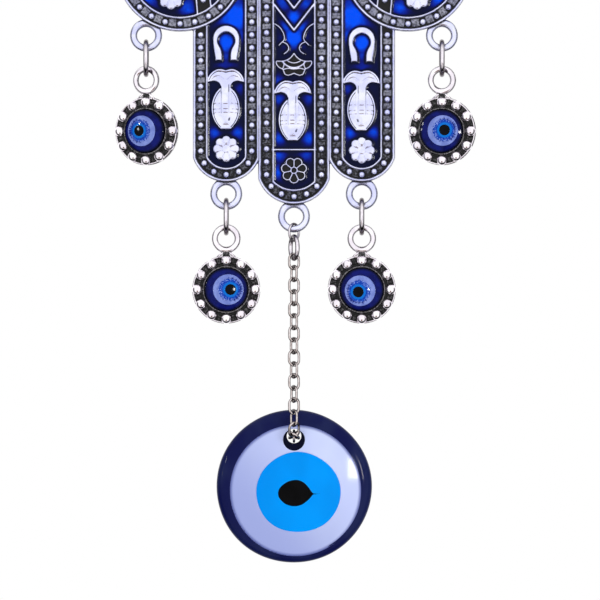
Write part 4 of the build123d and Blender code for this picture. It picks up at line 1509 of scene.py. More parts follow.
    def cut_open_daisy(self, centre: Point, radius: float, petals: int) -> None:
        """A rosette in lines, with bare oxide in its round cells.

        Args:
            centre: its middle.
            radius: its radius.
            petals: how many petals it has.
        """
        petal, line, heart = 0.37 * radius, 0.16, 0.62
        start, share = math.pi / 2 + math.pi / petals, math.pi / petals
        whole = disc(centre, radius - petal)
        for place in around(centre, radius - petal, turns(petals, start)):
            whole = whole | disc(place, petal + 0.03)

        def inside(x: Array, z: Array) -> Array:
            """Distance into the nearest line: round each petal, between petals and round the heart.

            Args:
                x: places, across.
                z: places, up.

            Returns:
                The distances.
            """
            across, up = x - centre[0], z - centre[1]
            reach, turn = np.hypot(across, up), np.arctan2(up, across)
            away = np.abs((turn - start + share) % (2 * share) - share)
            spoke = np.where(reach > heart, reach * np.sin(share - away), 9.0)
            edge = np.abs(whole.inside(x, z) - line)
            nearest = np.minimum(np.minimum(spoke, np.abs(reach - heart)), edge)
            return np.minimum(line - nearest, whole.inside(x, z))

        self.cells.append(whole)
        self.raise_up(Area(inside, whole.box), self.fine_height, line)

    def leaf_sides(self, side: int) -> list[list[Point]]:
        """Three points of each side of a leaf panel, the inner side first."""
        r, centre = self.lobe_radius, self.lobe_centres[side]
        return [shifted([(-a * r, b * r) for a, b in shares], centre, side) for shares in self.leaf_shares]

    def leaf(self, side: int) -> Area:
        """A lobe's leaf panel, run past the lobe at its foot.

        Args:
            side: 1 for the right, -1 for the left.

        Returns:
            The area.
        """
        near, far = self.leaf_sides(side)
        foot = -self.lobe_drop - self.lobe_radius
        return polygon(arc(*near) + arc(*reversed(far))[1:] + [(far[0][0], foot), (near[0][0], foot)])

    def leaf_beads(self, side: int) -> list[Point]:
        """Bead places along both sides of a leaf panel.

        Args:
            side: 1 for the right, -1 for the left.

        Returns:
            The places.
        """
        leaf, places = self.leaf(side), []
        for line in self.leaf_sides(side):
            points = np.array(arc(*line, steps=60))
            way = np.gradient(points, axis=0)
            way = way / np.linalg.norm(way, axis=1, keepdims=True)
            across = np.stack([way[:, 1], -way[:, 0]], 1) * 1.61
            if leaf.inside(*(points[30] + across[30])) > 0:
                across = -across
            beside = points + across
            along = np.concatenate(([0], np.cumsum(np.linalg.norm(np.diff(beside, axis=0), axis=1))))
            steps = np.linspace(0, along[-1], int(along[-1] / 2.7) + 1)
            across, up = (np.interp(steps, along, beside[:, axis]) for axis in (0, 1))
            places += zip(across.tolist(), up.tolist())
        reach, (x, z) = self.lobe_ring - self.ring_half_line - self.bead_radius, self.lobe_centres[side]
        return [place for place in places if math.hypot(place[0] - x, place[1] - z) < reach]

    def bead_ring(self, centre: Point, outer: float, inner: float, count: int, width: float) -> None:
        """Beads and pads round a disc, halfway between its rim and its ring."""
        middle = (outer - self.bead_rim + inner + self.ring_half_line) / 2
        self.add_beads(around(centre, middle, turns(count, -math.pi / 2)), 4.0, width, ring=True)

    def cut_lobes(self) -> None:
        """Beads, leaf panels and daisies of the two lobes."""
        spots = [(6.3, -6.2, 1.8, 0.6), (-1.6, -8.2, 1.5, 0.55), (6.5, 1.0, 4.0, 0.85)]
        spots += [(1.0, 5.5, 3.5, 0.8), (-7.5, -1.5, 3.0, 0.75), (-6.0, 5.0, 2.5, 0.6)]
        for side, centre in self.lobe_centres.items():
            self.bead_ring(centre, self.lobe_radius, self.lobe_ring, self.lobe_beads, 1.6)
            leaf, inside = self.leaf(side), disc(centre, self.lobe_ring)
            for start in (self.leaf_line, 3.22):
                line = leaf.line(-start, self.leaf_line) & inside
                self.raise_up(line, self.motif_height, self.leaf_line / 2)
            self.cells.append(leaf.grown(3.2) & -leaf.grown(0.3) & inside)
            self.add_beads(self.leaf_beads(side), 3.2, 1.4)
            daisy = (0.14 * self.lobe_radius, -0.455 * self.lobe_radius)
            self.cut_daisy(shifted([daisy], centre, side)[0], 2.85)
            self.pour(centre, side, spots)

    def cut_palm(self) -> None:
        """Beads, petals, dots and the bezel of the palm."""
        centre = self.palm_centre
        self.bead_ring(centre, self.palm_radius, self.palm_ring, self.palm_beads, 1.7)
        self.raise_up(disc(centre, self.bezel_radius).line(0, self.bezel_wall), self.bezel_height, 0.35)
        start, end, half = self.petal_start, self.petal_start + self.petal_length, self.petal_half_width
        side = arc((start, 0), ((start + end) / 2, half), (end, 0))
        loop = side + [(a, -b) for a, b in reversed(side[1:-1])]
        for angle in turns(8, math.pi / 2):
            c, s = math.cos(angle), math.sin(angle)
            petal = polygon([(c * a - s * b, centre[1] + s * a + c * b) for a, b in loop])
            self.raise_up(petal.line(0, 0.42), self.motif_height, 0.21)
            dot = around(centre, self.palm_ring - self.ring_half_line - 1.7, [angle + math.pi / 8])[0]
            self.raise_up(disc(dot, 0.55), self.motif_height, 0.5)
        self.pools += [(*spot, 2.4, 0.85) for spot in around(centre, 9.6, turns(8, math.pi / 8))]

    def boss_places(self) -> list[Point]:
        """A boss in each corner between the palm, a lobe and the shoulder's rim.

        Returns:
            The two places.
        """
        share = self.palm_radius / (self.palm_radius + self.lobe_radius)
        (x, z), _, _ = self.shoulder()
        meet = (self.lobe_reach * share, (self.palm_drop - self.lobe_drop) * share - self.palm_drop)
        away = (meet[0] - x, meet[1] - z)
        share = self.shoulder_radius / math.hypot(*away)
        edge = (x + away[0] * share, z + away[1] * share)
        boss = [near + (far - near) * 0.42 for near, far in zip(edge, meet)]
        return [(side * boss[0], boss[1]) for side in (-1, 1)]


@dataclass
class CastHand:
    """The silver-plated casting: its relief, beads, lower loops and hanging eye."""

    die: HandDie
    loop_radius: float = 2.5
    loop_wire: float = 1.4
    loop_drop: float = 2.4
    loop_turn: float = 26.2
    eye_bore: float = 2.0
    eye_wall: float = 1.5
    eye_half_depth: float = 1.0
    boss_radius: float = 1.0

    def loop_places(self) -> list[Point]:
        """Centres of the five lower loops.

        Returns:
            The centres, from left to right.
        """
        die, turn = self.die, math.radians(self.loop_turn)
        reach = die.lobe_radius + self.loop_drop
        lobe = (die.lobe_reach + reach * math.sin(turn), -die.lobe_drop - reach * math.cos(turn))
        fingers = [die.fingers[name] for name in ("left", "middle", "right")]
        tips = [(finger.centre, -finger.drop - self.loop_drop) for finger in fingers]
        return [(-lobe[0], lobe[1]), *tips, lobe]

    def make_relief(self, piece: Piece) -> None:
        """The plate with everything that stands on it.

        Args:
            piece: the piece that it is added to.
        """
        relief = Relief(self.die.whole, self.die.pitch)
        relief.press(self.die.raised, self.die.grooves)
        points, faces, oxide = relief.shell(self.die.floor, self.die.back, 0.18)
        piece.add(points, faces, oxide=oxide)

    def make_beads(self, piece: Piece) -> None:
        """Round beads with a ring of oxide where each meets the floor.

        Args:
            piece: the piece that it is added to.
        """
        beads = [(place, self.die.bead_radius) for place in self.die.beads]
        for place, radius in beads + [(place, self.boss_radius) for place in self.die.bosses]:
            points, faces = turned(ball_profile(radius, self.die.floor, 12)[:9], 24, place)
            lift = (self.die.floor - points[:, 1]) / radius
            piece.add(points, faces, oxide=1 - smooth(lift, -0.02, 0.18))

    def make_loops(self, piece: Piece) -> None:
        """The loops, thicker where they run into the fingertips.

        Args:
            piece: the piece that it is added to.
        """
        for place in self.loop_places():
            path = ring_path(place, self.loop_radius)
            lift = (path[:, 2] - place[1]) / self.loop_radius
            points, faces = tube(path, self.loop_wire / 2 * (1 + 0.12 * smooth(lift, 0.2, 0.9)), 24, True)
            near = -self.die.whole.inside(points[:, 0], points[:, 2])
            foot = 0.95 * (1 - smooth(near, 0.05, 0.45)) * smooth(np.repeat(lift, 24), 0.0, 0.4)
            # Real oxide where the loop meets the casting, and painted shade along the wire's sides.
            piece.add(points, faces, oxide=np.maximum(foot, wire_side_shade(points, self.loop_wire)))

    def make_eye(self, piece: Piece) -> None:
        """The hanging eye, round as if turned, with its edges broken.

        Args:
            piece: the piece that it is added to.
        """
        bore, outer, half = self.eye_bore, self.eye_bore + self.eye_wall, self.eye_half_depth
        front = [(bore, 0.3 - half), (bore + 0.1, 0.1 - half), (bore + 0.3, -half)]
        front += [(outer - 0.3, -half), (outer - 0.09, 0.09 - half), (outer, 0.3 - half)]
        back = [(radius, -depth) for radius, depth in reversed(front)]
        points, faces = turned(front + back, 96, (0, 0), True)
        piece.add(points, faces, oxide=0.12)

    def build(self, finish: Material) -> None:
        """Builds the casting and sets it in place of its CAD node.

        Args:
            finish: its material.
        """
        piece = Piece("cast_hand")
        for make in (self.make_relief, self.make_beads, self.make_loops, self.make_eye):
            make(piece)
        fit(piece.build(), "hand", "hand_casting", finish)


@dataclass
class EnamelFills:
    """The six pours of enamel, each a slab that climbs a little at its walls."""

    die: HandDie
    depth: float = 0.3
    climb: float = 0.07
    pitch: float = 0.17

    def fields(self) -> dict[str, Area]:
        """The area of each pour, run a little into the walls.

        Returns:
            The areas, by the names of their fields.
        """
        die, areas = self.die, {}
        apart = -die.palm.grown(-0.3) & -die.lobes[-1].grown(-0.3) & -die.lobes[1].grown(-0.3)
        for name, finger in die.fingers.items():
            top = -die.palm_drop - 12 if name == "middle" else -die.lobe_drop
            areas[f"{name}_finger"] = finger.panel(top).grown(-0.24) & apart
        for name, side in SIDES.items():
            areas[f"{name}_lobe"] = disc(die.lobe_centres[side], die.lobe_ring)
        bezel = disc(die.palm_centre, die.bezel_radius - 0.25)
        areas["palm"] = disc(die.palm_centre, die.palm_ring) & -bezel
        return areas

    def build(self, finish: Material) -> None:
        """Pours every field and sets it in place of its CAD node.

        Args:
            finish: the enamel's material.
        """
        for name, area in self.fields().items():
            relief = Relief(area, self.pitch)
            open_by = -relief.walls(self.die.raised)
            relief.height = self.depth + self.climb * np.exp(-np.maximum(open_by, 0) / 0.16)
            for cell in self.die.cells:
                part = relief.window(cell.box)
                if relief.x[part].size:
                    inside = cell.inside(relief.x[part], relief.z[part])
                    relief.height[part] -= 0.45 * smooth(inside, 0.02, 0.22)
            pool = np.zeros_like(open_by)
            for x, z, radius, strength in self.die.pools:
                away = np.hypot(relief.x - x, relief.z - z) / radius
                pool = np.maximum(pool, strength * np.exp(-(away**2)))
            # The open mark is low near the walls, where the enamel paints shade, and high in the bright
            # patches.
            relief.oxide = smooth(open_by, 0.0, 0.6) * (0.06 + 0.94 * pool)
            points, faces, values = relief.shell(self.die.floor, self.die.floor + 0.2, 0.02)
            piece = Piece(f"enamel_{name}", ("open",))
            piece.add(points, faces, open=values)
            fit(piece.build(), "hand", f"{name}_enamel", finish)


# Eyes


@dataclass
class Cabochon:
    """A domed eye of four colours, laid between circles that drift off centre.

    Args:
        radius: the dome's radius.
        edge: height of its upright edge.
        dome: rise of the dome above the edge.
        scale: size against a charm's cabochon.
        spin: degrees by which its print is laid round.
    """

    radius: float = 4.3
    edge: float = 0.9
    dome: float = 0.75
    scale: float = 1.0
    spin: float = 0.0

    def front(self, x: Array, z: Array) -> Array:
        """Height of the dome over a point."""
        ball = (self.radius**2 + self.dome**2) / (2 * self.dome)
        return self.edge + self.dome - ball + np.sqrt(np.maximum(ball**2 - x**2 - z**2, 0))

    def layer(self, name: str, colour: EyeColour, outer: Point, inner: Point, pupil: float) -> Piece:
        """One colour as a closed slab.

        Args:
            name: its name.
            colour: which colour.
            outer: its outer circle: drift across, radius.
            inner: its inner circle; radius 0 for none.
            pupil: drift of the pupil, from which the print's marks are measured.

        Returns:
            The piece, about the cabochon's own centre.
        """
        segments, rings = 144, 14 if colour is not EyeColour.PUPIL else 8
        angles = FULL_TURN * np.arange(segments) / segments
        shares = np.linspace(0, 1, rings + 1)[:, None]
        across = [drift + radius * np.cos(angles) for drift, radius in (inner, outer)]
        x = (1 - shares) * across[0] + shares * across[1]
        z = (1 - shares) * inner[1] * np.sin(angles) + shares * outer[1] * np.sin(angles)
        top = self.front(x, z)
        floor = self.edge - 0.4
        if colour is EyeColour.BASE:
            floor = 0.0
            top[-1] -= 0.06
        slabs = [np.stack([x, np.broadcast_to(y, x.shape), z], 2).reshape(-1, 3) for y in (-top, -floor)]
        points, count = np.concatenate(slabs), x.size
        index = np.arange(count).reshape(rings + 1, segments)
        ahead = np.roll(index, -1, 1)
        front = np.stack([index[:-1], index[1:], ahead[1:], ahead[:-1]], 2).reshape(-1, 4)
        outside = np.stack([index[-1], index[-1] + count, ahead[-1] + count, ahead[-1]], 1)
        inside = np.stack([ahead[0], ahead[0] + count, index[0] + count, index[0]], 1)
        faces = [front, front[:, ::-1] + count, outside] + ([inside] if inner[1] > 0 else [])
        reach = np.hypot(points[:, 0] - pupil, points[:, 2]) / self.scale
        rim = np.hypot(points[:, 0], points[:, 2]) / self.scale
        way = np.arctan2(points[:, 2], points[:, 0] - pupil)
        tooth = 0.5 * np.sin(23 * way + 3 * np.sin(2 * way)) + 0.3 * np.sin(37 * way + 1.3)
        tooth += 0.3 * np.sin(5 * way + 0.4)
        c, s = math.cos(math.radians(self.spin)), math.sin(math.radians(self.spin))
        points[:, [0, 2]] = points[:, [0, 2]] @ np.array([[c, s], [-s, c]])
        piece = Piece(f"{name}_{colour.value}", ("reach", "rim", "tooth"))
        piece.add(points, faces, reach=reach, rim=rim, tooth=tooth)
        return piece

    def build(
        self,
        name: str,
        body: str,
        node: str,
        turn: float,
        place: Point3,
        finishes: dict[EyeColour, Material],
    ) -> None:
        """Builds the four colours.

        Args:
            name: what the pieces are named after.
            body: the CAD body that they ride on.
            node: what the CAD nodes' names start with.
            turn: degrees about the upright axis.
            place: where the foot of the dome's axis goes.
            finishes: the material of each colour.
        """
        scale = self.scale
        circles = [(0.0, self.radius), (0.42 * scale, 3.05 * scale), (0.6 * scale, 2.2 * scale)]
        circles += [(0.86 * scale, 1.08 * scale), (0.86 * scale, 0.0)]
        slots = ("eye_navy", "eye_white", "eye_blue", "eye_black")
        for colour, slot, outer, inner in zip(EyeColour, slots, circles, circles[1:]):
            piece = self.layer(name, colour, outer, inner, circles[3][0]).build(turn, place)
            fit(piece, body, f"{node}_{colour.value}", finishes[colour])


@dataclass
class Charm:
    """A hanging charm: a cast plate with twelve balls, a cup, a loop, and an eye in the cup.

    Args:
        name: which charm.
        centre: its middle, across and up.
        turn: degrees about the upright axis.
        spin: degrees by which its print was laid round, as each was laid by hand.
    """

    name: str
    centre: Point
    turn: float
    spin: float
    plate_radius: float = 6.8
    plate_back: float = 0.9
    ball_radius: float = 1.09
    ball_ring: float = 5.78
    balls: int = 12
    cup_inner: float = 4.34
    cup_outer: float = 4.78
    cup_height: float = 0.6
    loop_centre: float = 10.2
    loop_radius: float = 2.27
    loop_wire: float = 1.2
    pitch: float = 0.1

    def make_plate(self, piece: Piece) -> None:
        """The plate: a bright edge, a dark trough with rough pads between the balls, and the cup's wall.

        Args:
            piece: the piece that it is added to.
        """
        middle = (0.0, 0.0)
        plate = disc(middle, self.plate_radius)
        cup = disc(middle, self.cup_outer).line(0, self.cup_outer - self.cup_inner)
        raised = [Raised(plate.line(0, 0.34), 0.24, 0.17, 0.05), Raised(cup, self.cup_height, 0.2, 0.68)]
        for spot in around(middle, self.ball_ring, turns(self.balls, math.pi / self.balls)):
            raised.append(Raised(pad(spot, (-spot[1], spot[0]), 0.9, 1.2), 0.14, 0.4, 0.86))
        relief = Relief(plate, self.pitch)
        relief.press(raised)
        points, faces, oxide = relief.shell(0.0, self.plate_back, 0.14)
        piece.add(points, faces, oxide=oxide)

    def make_balls(self, piece: Piece) -> None:
        """Twelve balls, dark where they meet the plate, and ended inside it.

        Args:
            piece: the piece that it is added to.
        """
        for spot in around((0.0, 0.0), self.ball_ring, turns(self.balls)):
            points, faces = turned(ball_profile(self.ball_radius, 0.0, 18), 32, spot)
            points[:, 1] = np.minimum(points[:, 1], self.plate_back - 0.1)
            outward = (np.hypot(points[:, 0], points[:, 2]) - self.ball_ring) / self.ball_radius
            foot = (1 - smooth(-points[:, 1], 0.02, 0.3)) * (1 - smooth(outward, 0.35, 0.8))
            piece.add(points, faces, oxide=foot)

    def make_loop(self, piece: Piece) -> None:
        """The loop on its neck, with a prong to each side.

        Args:
            piece: the piece that it is added to.
        """
        path = ring_path((0.0, self.loop_centre), self.loop_radius)
        lift = (path[:, 2] - self.loop_centre) / self.loop_radius
        points, faces = tube(path, self.loop_wire / 2 * (1 + 0.06 * smooth(-lift, 0.5, 1)), 24, True)
        low = 0.9 * smooth(self.loop_centre - points[:, 2], 2.5, 2.85)
        # Real oxide low on the loop where it meets the neck, and painted shade along the wire's sides.
        piece.add(points, faces, oxide=np.maximum(low, wire_side_shade(points, self.loop_wire)))
        foot, top = self.plate_radius - 0.5, self.loop_centre - self.loop_radius
        neck = np.array([[0, 0, foot], [0, 0, (foot + top) / 2], [0, 0, top]], float)
        points, faces = tube(neck, np.array([0.95, 0.62, 0.6]), 20, False)
        points[:, 1] *= 0.75
        piece.add(points, faces, oxide=0.8)
        for side in (-1, 1):
            ends = [(0.5, top - 0.35), (0.95, top - 0.75), (1.75, foot + 0.12)]
            prong = np.array([(side * x, 0, z) for x, z in ends])
            piece.add(*tube(prong, np.array([0.3, 0.26, 0.3]), 14, False), oxide=0.1)

    def build(self, silver: Material, resins: dict[EyeColour, Material]) -> None:
        """Builds the setting and its eye on the charm's body.

        Args:
            silver: the setting's material.
            resins: the material of each eye colour.
        """
        piece = Piece(f"{self.name}_charm_plate")
        for make in (self.make_plate, self.make_balls, self.make_loop):
            make(piece)
        place, body = (self.centre[0], 0.0, self.centre[1]), f"{self.name}_charm"
        fit(piece.build(self.turn, place), body, f"{self.name}_setting", silver)
        eye = Cabochon(spin=self.spin)
        eye.build(f"{self.name}_cabochon", body, f"{self.name}_eye", self.turn, place, resins)


@dataclass
class GlassEye:
    """The pressed glass disc: a navy body and three layers let into its front."""

    centre: float
    radius: float = 15.4
    half_depth: float = 2.6
    rim_radius: float = 1.9
    rim_depth: float = 3.6
    hole_radius: float = 2.18
    hole_rise: float = 9.36
    web_hole: float = 1.45
    web_rise: float = 10.06
    web_depth: float = 1.0
    past: float = 6.0
    white_centre: Point = (0.3, -0.8)
    white_radius: float = 13.1
    iris_centre: Point = (0.86, -1.14)
    iris_radius: float = 8.22
    pupil_centre: Point = (0.2, -1.28)
    pitch: float = 0.24
    proud: float = 0.02

    def face(self, x: Array, z: Array) -> Array:
        """Height of the domed front above the middle plane.

        Args:
            x: places, across.
            z: places, up.

        Returns:
            The heights.
        """
        reach = self.radius - self.rim_radius
        rise = self.half_depth - self.rim_depth / 2
        ball = (reach**2 + rise**2) / (2 * rise)
        return self.half_depth - ball + np.sqrt(np.maximum(ball**2 - x**2 - z**2, 0))

    def blank(self) -> bpy.types.Object:
        """The navy body: domed on both sides, round at the rim and not quite a circle.

        Returns:
            The object.
        """
        reach, half = self.radius - self.rim_radius, self.rim_depth / 2
        middle = (self.radius**2 - reach**2 - half**2) / (2 * (self.radius - reach))
        edge, start = self.radius - middle, math.atan2(half, reach - middle)
        front = [(reach * share, -float(self.face(reach * share, 0.0))) for share in np.linspace(0, 1, 28)]
        angles = np.linspace(start, -start, 30)[1:-1]
        rim = [(middle + edge * math.cos(angle), -edge * math.sin(angle)) for angle in angles]
        back = [(radius, -depth) for radius, depth in reversed(front)]
        points, faces = turned(front + rim + back, 180, (0, 0))
        angle = np.arctan2(points[:, 2], points[:, 0])
        far = smooth(np.hypot(points[:, 0], points[:, 2]), 11.0, 15.4)
        wobble = 0.02 + 0.13 * np.cos(2 * angle) + 0.05 * np.sin(3 * angle + 2.1)
        wobble += 0.03 * np.sin(5 * angle + 0.6)
        points[:, [0, 2]] *= (1 + far * wobble / self.radius)[:, None]
        piece = Piece("glass_eye_body", ())
        piece.add(points, faces)
        return piece.build()

    def bored_body(self) -> bpy.types.Object:
        """The body with its hole bored from the front and a narrower one from the back.

        Returns:
            The object.
        """
        near, half, wide, narrow = -self.past, self.half_depth, self.hole_radius, self.web_hole
        front_bore = [(0.0, near), (wide + 3.0, near), (wide + 0.35, 0.25 - half), (wide, 0.75 - half)]
        front_bore += [(wide, self.web_depth), (0.0, self.web_depth)]
        back_bore = [(0.0, near), (narrow, near), (narrow, half - 0.45), (narrow + 0.3, half - 0.05)]
        back_bore += [(narrow + 1.5, self.past), (0.0, self.past)]
        body, tools = self.blank(), []
        for profile, rise in ((front_bore, self.hole_rise), (back_bore, self.web_rise)):
            tool = Piece("hole_tool", ())
            tool.add(*turned(profile, 96, (0, rise)))
            tools.append(tool.build())
            cut = body.modifiers.new("hole", "BOOLEAN")
            cut.operation, cut.solver, cut.object = "DIFFERENCE", "EXACT", tools[-1]
        bpy.context.view_layer.update()
        mesh = bpy.data.meshes.new_from_object(body.evaluated_get(bpy.context.evaluated_depsgraph_get()))
        body.modifiers.clear()
        body.data = mesh
        for tool in tools:
            bpy.data.objects.remove(tool)
        mesh.transform(Matrix.Translation((0, 0, self.centre * METRES)))
        mesh.shade_smooth()
        mesh.set_sharp_from_angle(angle=math.radians(40))
        return body

    def layer(self, name: str, area: Area, whole: Area, depth: float, pitch: float) -> bpy.types.Object:
        """One colour let into the front: a slab that follows the dome and knows how far its outer edge is.

        Args:
            name: its name.
            area: the area that shows.
            whole: the area with what covers it.
            depth: its depth at the middle.
            pitch: the net's spacing.

        Returns:
            The object.
        """
        relief = Relief(area, pitch)
        relief.height = self.face(relief.x, relief.z) + self.proud
        relief.oxide = whole.inside(relief.x, relief.z)
        points, faces, edge = relief.shell(0.0, -self.half_depth + depth, 0.02)
        piece = Piece(name, ("edge",))
        piece.add(points, faces, edge=edge)
        return piece.build(0.0, (0, 0, self.centre))

    def build(self, navy: Material, white: Material, sky: Material, black: Material) -> None:
        """Builds the body and the three layers.

        Args:
            navy: the body's material.
            white: the white layer's material.
            sky: the iris's material.
            black: the pupil's material.
        """
        hole = disc((0, self.hole_rise), self.hole_radius)
        pale = disc(self.white_centre, self.white_radius)
        ring = []
        for a in turns(72):
            drift = 0.22 * math.cos(2 * a) + 0.06 * math.cos(3 * a + 1) + 0.05 * math.sin(5 * a)
            ring += around(self.iris_centre, self.iris_radius + drift, [a])
        blue = polygon(ring)
        edge = [(-3.4, 0.0), (-3.2, 0.75), (-2.5, 1.6), (-1.3, 2.35), (0.0, 2.62), (1.0, 2.5)]
        edge += [(1.9, 2.0), (2.7, 1.15), (3.3, 0.3), (3.62, -0.02), (4.5, -0.12), (5.2, -0.1)]
        edge += [(4.5, -0.22), (3.6, -0.3)]
        edge += [(3.2, -0.8), (2.4, -1.6), (1.5, -2.25), (0.5, -2.58), (-0.6, -2.6), (-1.8, -2.25)]
        edge += [(-2.7, -1.55), (-3.25, -0.8), (-3.4, 0.0)]
        pupil = polygon(shifted(flow(edge, 4)[:-1], self.pupil_centre))
        fit(self.bored_body(), "disc", "disc_body", navy)
        for name, slot, area, whole, depth, pitch, finish in (
            ("white", "white_glass", pale & -blue & -hole, pale, 1.1, self.pitch, white),
            ("iris", "sky_glass", blue & -pupil, blue, 0.8, 0.16, sky),
            ("pupil", "black_glass", pupil, pupil, 0.5, 0.08, black),
        ):
            layer = self.layer(f"glass_eye_{name}", area, whole, depth, pitch)
            fit(layer, "disc", f"disc_{name}", finish)


# Rings, chain and studio


@dataclass
class Hardware:
    """The wound rings and the cable chain, whose CAD shapes are right as they are."""

    nodes: dict[str, bpy.types.Object]

    def dress(self, ring_silver: Material, chain_silver: Material) -> None:
        """Gives each ring and link the finish of drawn wire.

        Args:
            ring_silver: the rings' material.
            chain_silver: the links' material.
        """
        for name, node in self.nodes.items():
            links = name.startswith("chain_")
            if links or name.endswith("_ring"):
                finish = chain_silver if links else ring_silver
                node.data.materials.clear()
                node.data.materials.append(finish)
                node.data.shade_smooth()
                log.info("%s: kept, in %s", name, finish.name)


@dataclass
class Studio:
    """A white room with a pale floor, soft lamps and the photograph's camera.

    Args:
        view_centre: the middle of the picture, across and up.
        view_width: the picture's width.
        distance: how far in front the lens is.
        floor_height: the floor's height.
        lens_white: brightness of the room behind, as the lens sees it.
        plain_light: brightness of the room for what doesn't shine.
        mirror_light: brightness of the room for what shines.
    """

    view_centre: tuple[float, float] = (1.2, -103.0)
    view_width: float = 120.0
    distance: float = 1500.0
    floor_height: float = -190.0
    lens_white: float = 1.0
    plain_light: float = 0.62
    mirror_light: float = 1.2

    def plane(self, name: str, corners: Sequence[Sequence[float]]) -> bpy.types.Object:
        """A flat sheet by its four corners, in millimetres.

        Args:
            name: its name.
            corners: its corners, in order.

        Returns:
            The object.
        """
        mesh = bpy.data.meshes.new(name)
        mesh.from_pydata([Vector(corner) * METRES for corner in corners], [], [(0, 1, 2, 3)])
        sheet = bpy.data.objects.new(name, mesh)
        bpy.context.scene.collection.objects.link(sheet)
        return sheet

    def make_floor(self) -> None:
        """A pale card floor under the hanging ornament, short enough to stay below the picture."""
        z = self.floor_height
        floor = self.plane("studio_floor", [(-900, -700, z), (900, -700, z), (900, 280, z), (-900, 280, z)])
        bench = new_bench("pale_floor_card")
        tone = bench.mottle(bench.noise(3.0, 4.0), "#f4f4f2", "#efefee", 0.3)
        floor.data.materials.append(bench.finish(Base_Color=tone, Roughness=0.9))
        floor.visible_glossy = False

    def make_card(self) -> None:
        """A dark brown board below the lens, which shows as the brown spot low on each bead."""
        corners = [(-330, -760, -1130), (330, -760, -1130), (300, -1010, -560), (-300, -1010, -560)]
        card = self.plane("brown_board", corners)
        bench = new_bench("brown_board_stain")
        tone = bench.mottle(bench.noise(40.0, 3.0), "#a8714c", "#6e4830", 0.3)
        card.data.materials.append(bench.finish(Base_Color=tone, Roughness=1.0, Specular_IOR_Level=0.0))
        for seen in ("camera", "diffuse", "shadow", "transmission"):
            setattr(card, f"visible_{seen}", False)

    def make_world(self) -> None:
        """White for the lens; for what shines, a bright front and top and a dim band to the sides."""
        bench = Bench(bpy.data.worlds.new("white_room"))
        bpy.context.scene.world = bench.owner
        path = add_node(bench.tree, "LightPath", {}, {}).outputs
        way = add_node(bench.tree, "SeparateXYZ", {}, {0: bench.add("TexCoord", "Generated")}).outputs
        front = bench.span(bench.sum("ABSOLUTE", way["Y"], 0.0), 0.15, 0.6, 0.08, 1.0)
        above = bench.span(way["Z"], 0.2, 0.75, 0.0, 1.0)
        below = bench.span(way["Z"], -0.7, -0.95, 0.0, 0.35)
        lit = bench.sum("SUBTRACT", bench.sum("ADD", front, above, clamp=False), below)
        room = bench.sum("MULTIPLY", lit, self.mirror_light, clamp=False)
        bare = bench.sum("MAXIMUM", path["Is Camera Ray"], path["Is Transmission Ray"])
        plain = bench.add("MapRange", inputs={0: bare, 3: self.plain_light, 4: self.lens_white})
        level = bench.add("Mix", inputs={0: path["Is Glossy Ray"], 2: plain, 3: room})
        background = bench.tree.nodes["Background"]
        background.inputs["Color"].default_value = (1, 1, 1, 1)
        bench.tree.links.new(level, background.inputs["Strength"])

    def add_lamp(
        self,
        name: str,
        place: Point3,
        size: Point,
        power: float,
        glazed: bpy.types.Collection | None = None,
    ) -> None:
        """A soft box that looks at the middle of the picture.

        Args:
            name: its name.
            place: where it stands.
            size: its width and height.
            power: its power in watts.
            glazed: the only pieces that mirror it, where it is there for glints alone.
        """
        lamp = bpy.data.lights.new(name, "AREA")
        lamp.shape, lamp.energy = "RECTANGLE", power
        lamp.size, lamp.size_y = size[0] * METRES, size[1] * METRES
        box = bpy.data.objects.new(name, lamp)
        box.location = Vector(place) * METRES
        aim = Vector((self.view_centre[0], 0, self.view_centre[1])) * METRES - box.location
        box.rotation_euler = aim.to_track_quat("-Z", "Y").to_euler()
        box.visible_glossy, box.visible_diffuse = glazed is not None, glazed is None
        if glazed is not None:
            box.light_linking.receiver_collection = glazed
        bpy.context.scene.collection.objects.link(box)

    def make_lamps(self) -> None:
        """Two large boxes that only give light, and three small ones for glints in what is glazed."""
        glazed = bpy.data.collections.new("glazed_pieces")
        for piece in bpy.context.scene.objects:
            if piece.name.startswith(("glass_eye", "enamel")) or "cabochon" in piece.name:
                glazed.objects.link(piece)
        self.add_lamp("key_box", (650, -900, 450), (520, 520), 5.3)
        self.add_lamp("fill_box", (-800, -900, 150), (500, 700), 2.4)
        self.add_lamp("glint_box", (290, -1180, -86), (84, 92), 4.5, glazed)
        self.add_lamp("window_high", (-820, -510, 161), (60, 75), 1.4, glazed)
        self.add_lamp("window_low", (-857, -510, 5), (60, 60), 1.1, glazed)

    def make_camera(self) -> None:
        """A long lens straight in front, framed as the photograph."""
        lens = bpy.data.cameras.new("front_lens")
        lens.sensor_width = 36.0
        lens.lens = 36.0 * self.distance / self.view_width
        lens.clip_end = 20.0
        camera = bpy.data.objects.new("front_camera", lens)
        camera.location = Vector((self.view_centre[0], -self.distance, self.view_centre[1])) * METRES
        camera.rotation_euler = (math.pi / 2, 0, 0)
        bpy.context.scene.collection.objects.link(camera)
        bpy.context.scene.camera = camera

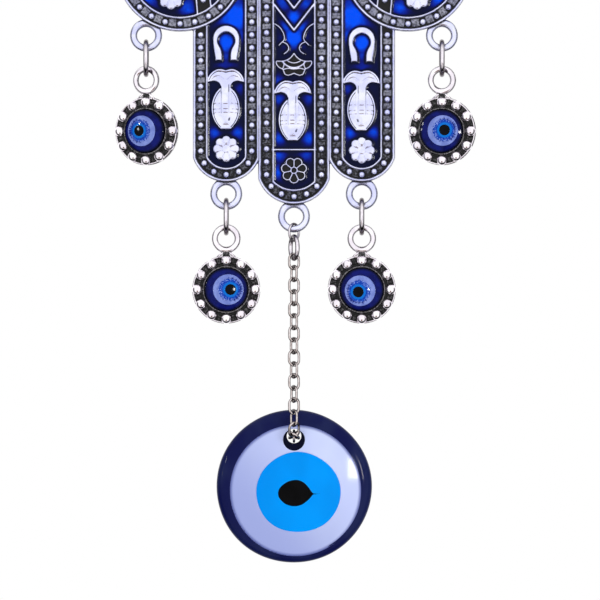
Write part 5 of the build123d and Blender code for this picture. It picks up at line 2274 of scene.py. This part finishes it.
    def build(self) -> None:
        """Sets up the room."""
        for make in (self.make_world, self.make_floor, self.make_card, self.make_lamps, self.make_camera):
            make()
        bpy.context.scene.view_settings.view_transform = "Standard"


def main() -> None:
    """Loads the frame and builds the ornament from the hanging eye down."""
    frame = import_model()
    cast_silver = AntiquedSilver("antiqued_silver_casting", 0.27).material()
    charm_silver = AntiquedSilver("antiqued_silver_charms", 0.15, "#fbf6fc", "#e6dfe8").material()
    resins = {colour: PrintedResin(colour).material() for colour in EyeColour}
    die = HandDie()
    CastHand(die).build(cast_silver)
    EnamelFills(die).build(PouredEnamel().material())
    palm_eye = Cabochon(radius=5.71, edge=1.4, dome=1.5, scale=5.71 / 4.3)
    palm_eye.build("palm_cabochon", "hand", "palm_eye", 0.0, (0, die.floor, -die.palm_drop), resins)
    for name, centre, turn, spin in (
        ("left_outer", (-29.58, -69.23), -24.0, 176.0),
        ("left_inner", (-13.55, -100.91), 0.0, 0.0),
        ("right_inner", (13.55, -100.91), 0.0, 214.0),
        ("right_outer", (29.58, -69.23), -12.0, 14.0),
    ):
        Charm(name, centre, turn, spin).build(charm_silver, resins)
    Hardware(frame["nodes"]).dress(
        # The third colour of each wire is painted shade on its sides.
        DrawnWire("bright_ring_wire", "#f4eff6", "#dcd5de", "#544c52", 0.12, 0.25).material(),
        DrawnWire("bright_chain_wire", "#e2dadb", "#bcb0ac", "#423a39", 0.08, 0.12).material(),
    )
    blank = frame["nodes"]["disc_body"]
    heights = [(blank.matrix_world @ Vector(corner)).z / METRES for corner in blank.bound_box]
    GlassEye(centre=(min(heights) + max(heights)) / 2).build(
        KilnGlass("navy_body_glass", "#10154a", "#1d2450", 5.0).material(),
        # The white layer's last colour is painted shade towards the lower left.
        KilnGlass("white_layer_glass", "#d2dcff", "#cad4ff", 9.0, "#5a64a8", "#a2ade4").material(),
        KilnGlass("sky_layer_glass", "#009aff", "#0090f4", 9.0).material(),
        KilnGlass("black_layer_glass", "#020203", "#060608", 3.0).material(),
    )
    Studio().build()


if __name__ == "__main__":
    logging.basicConfig(level=logging.INFO)
    main()
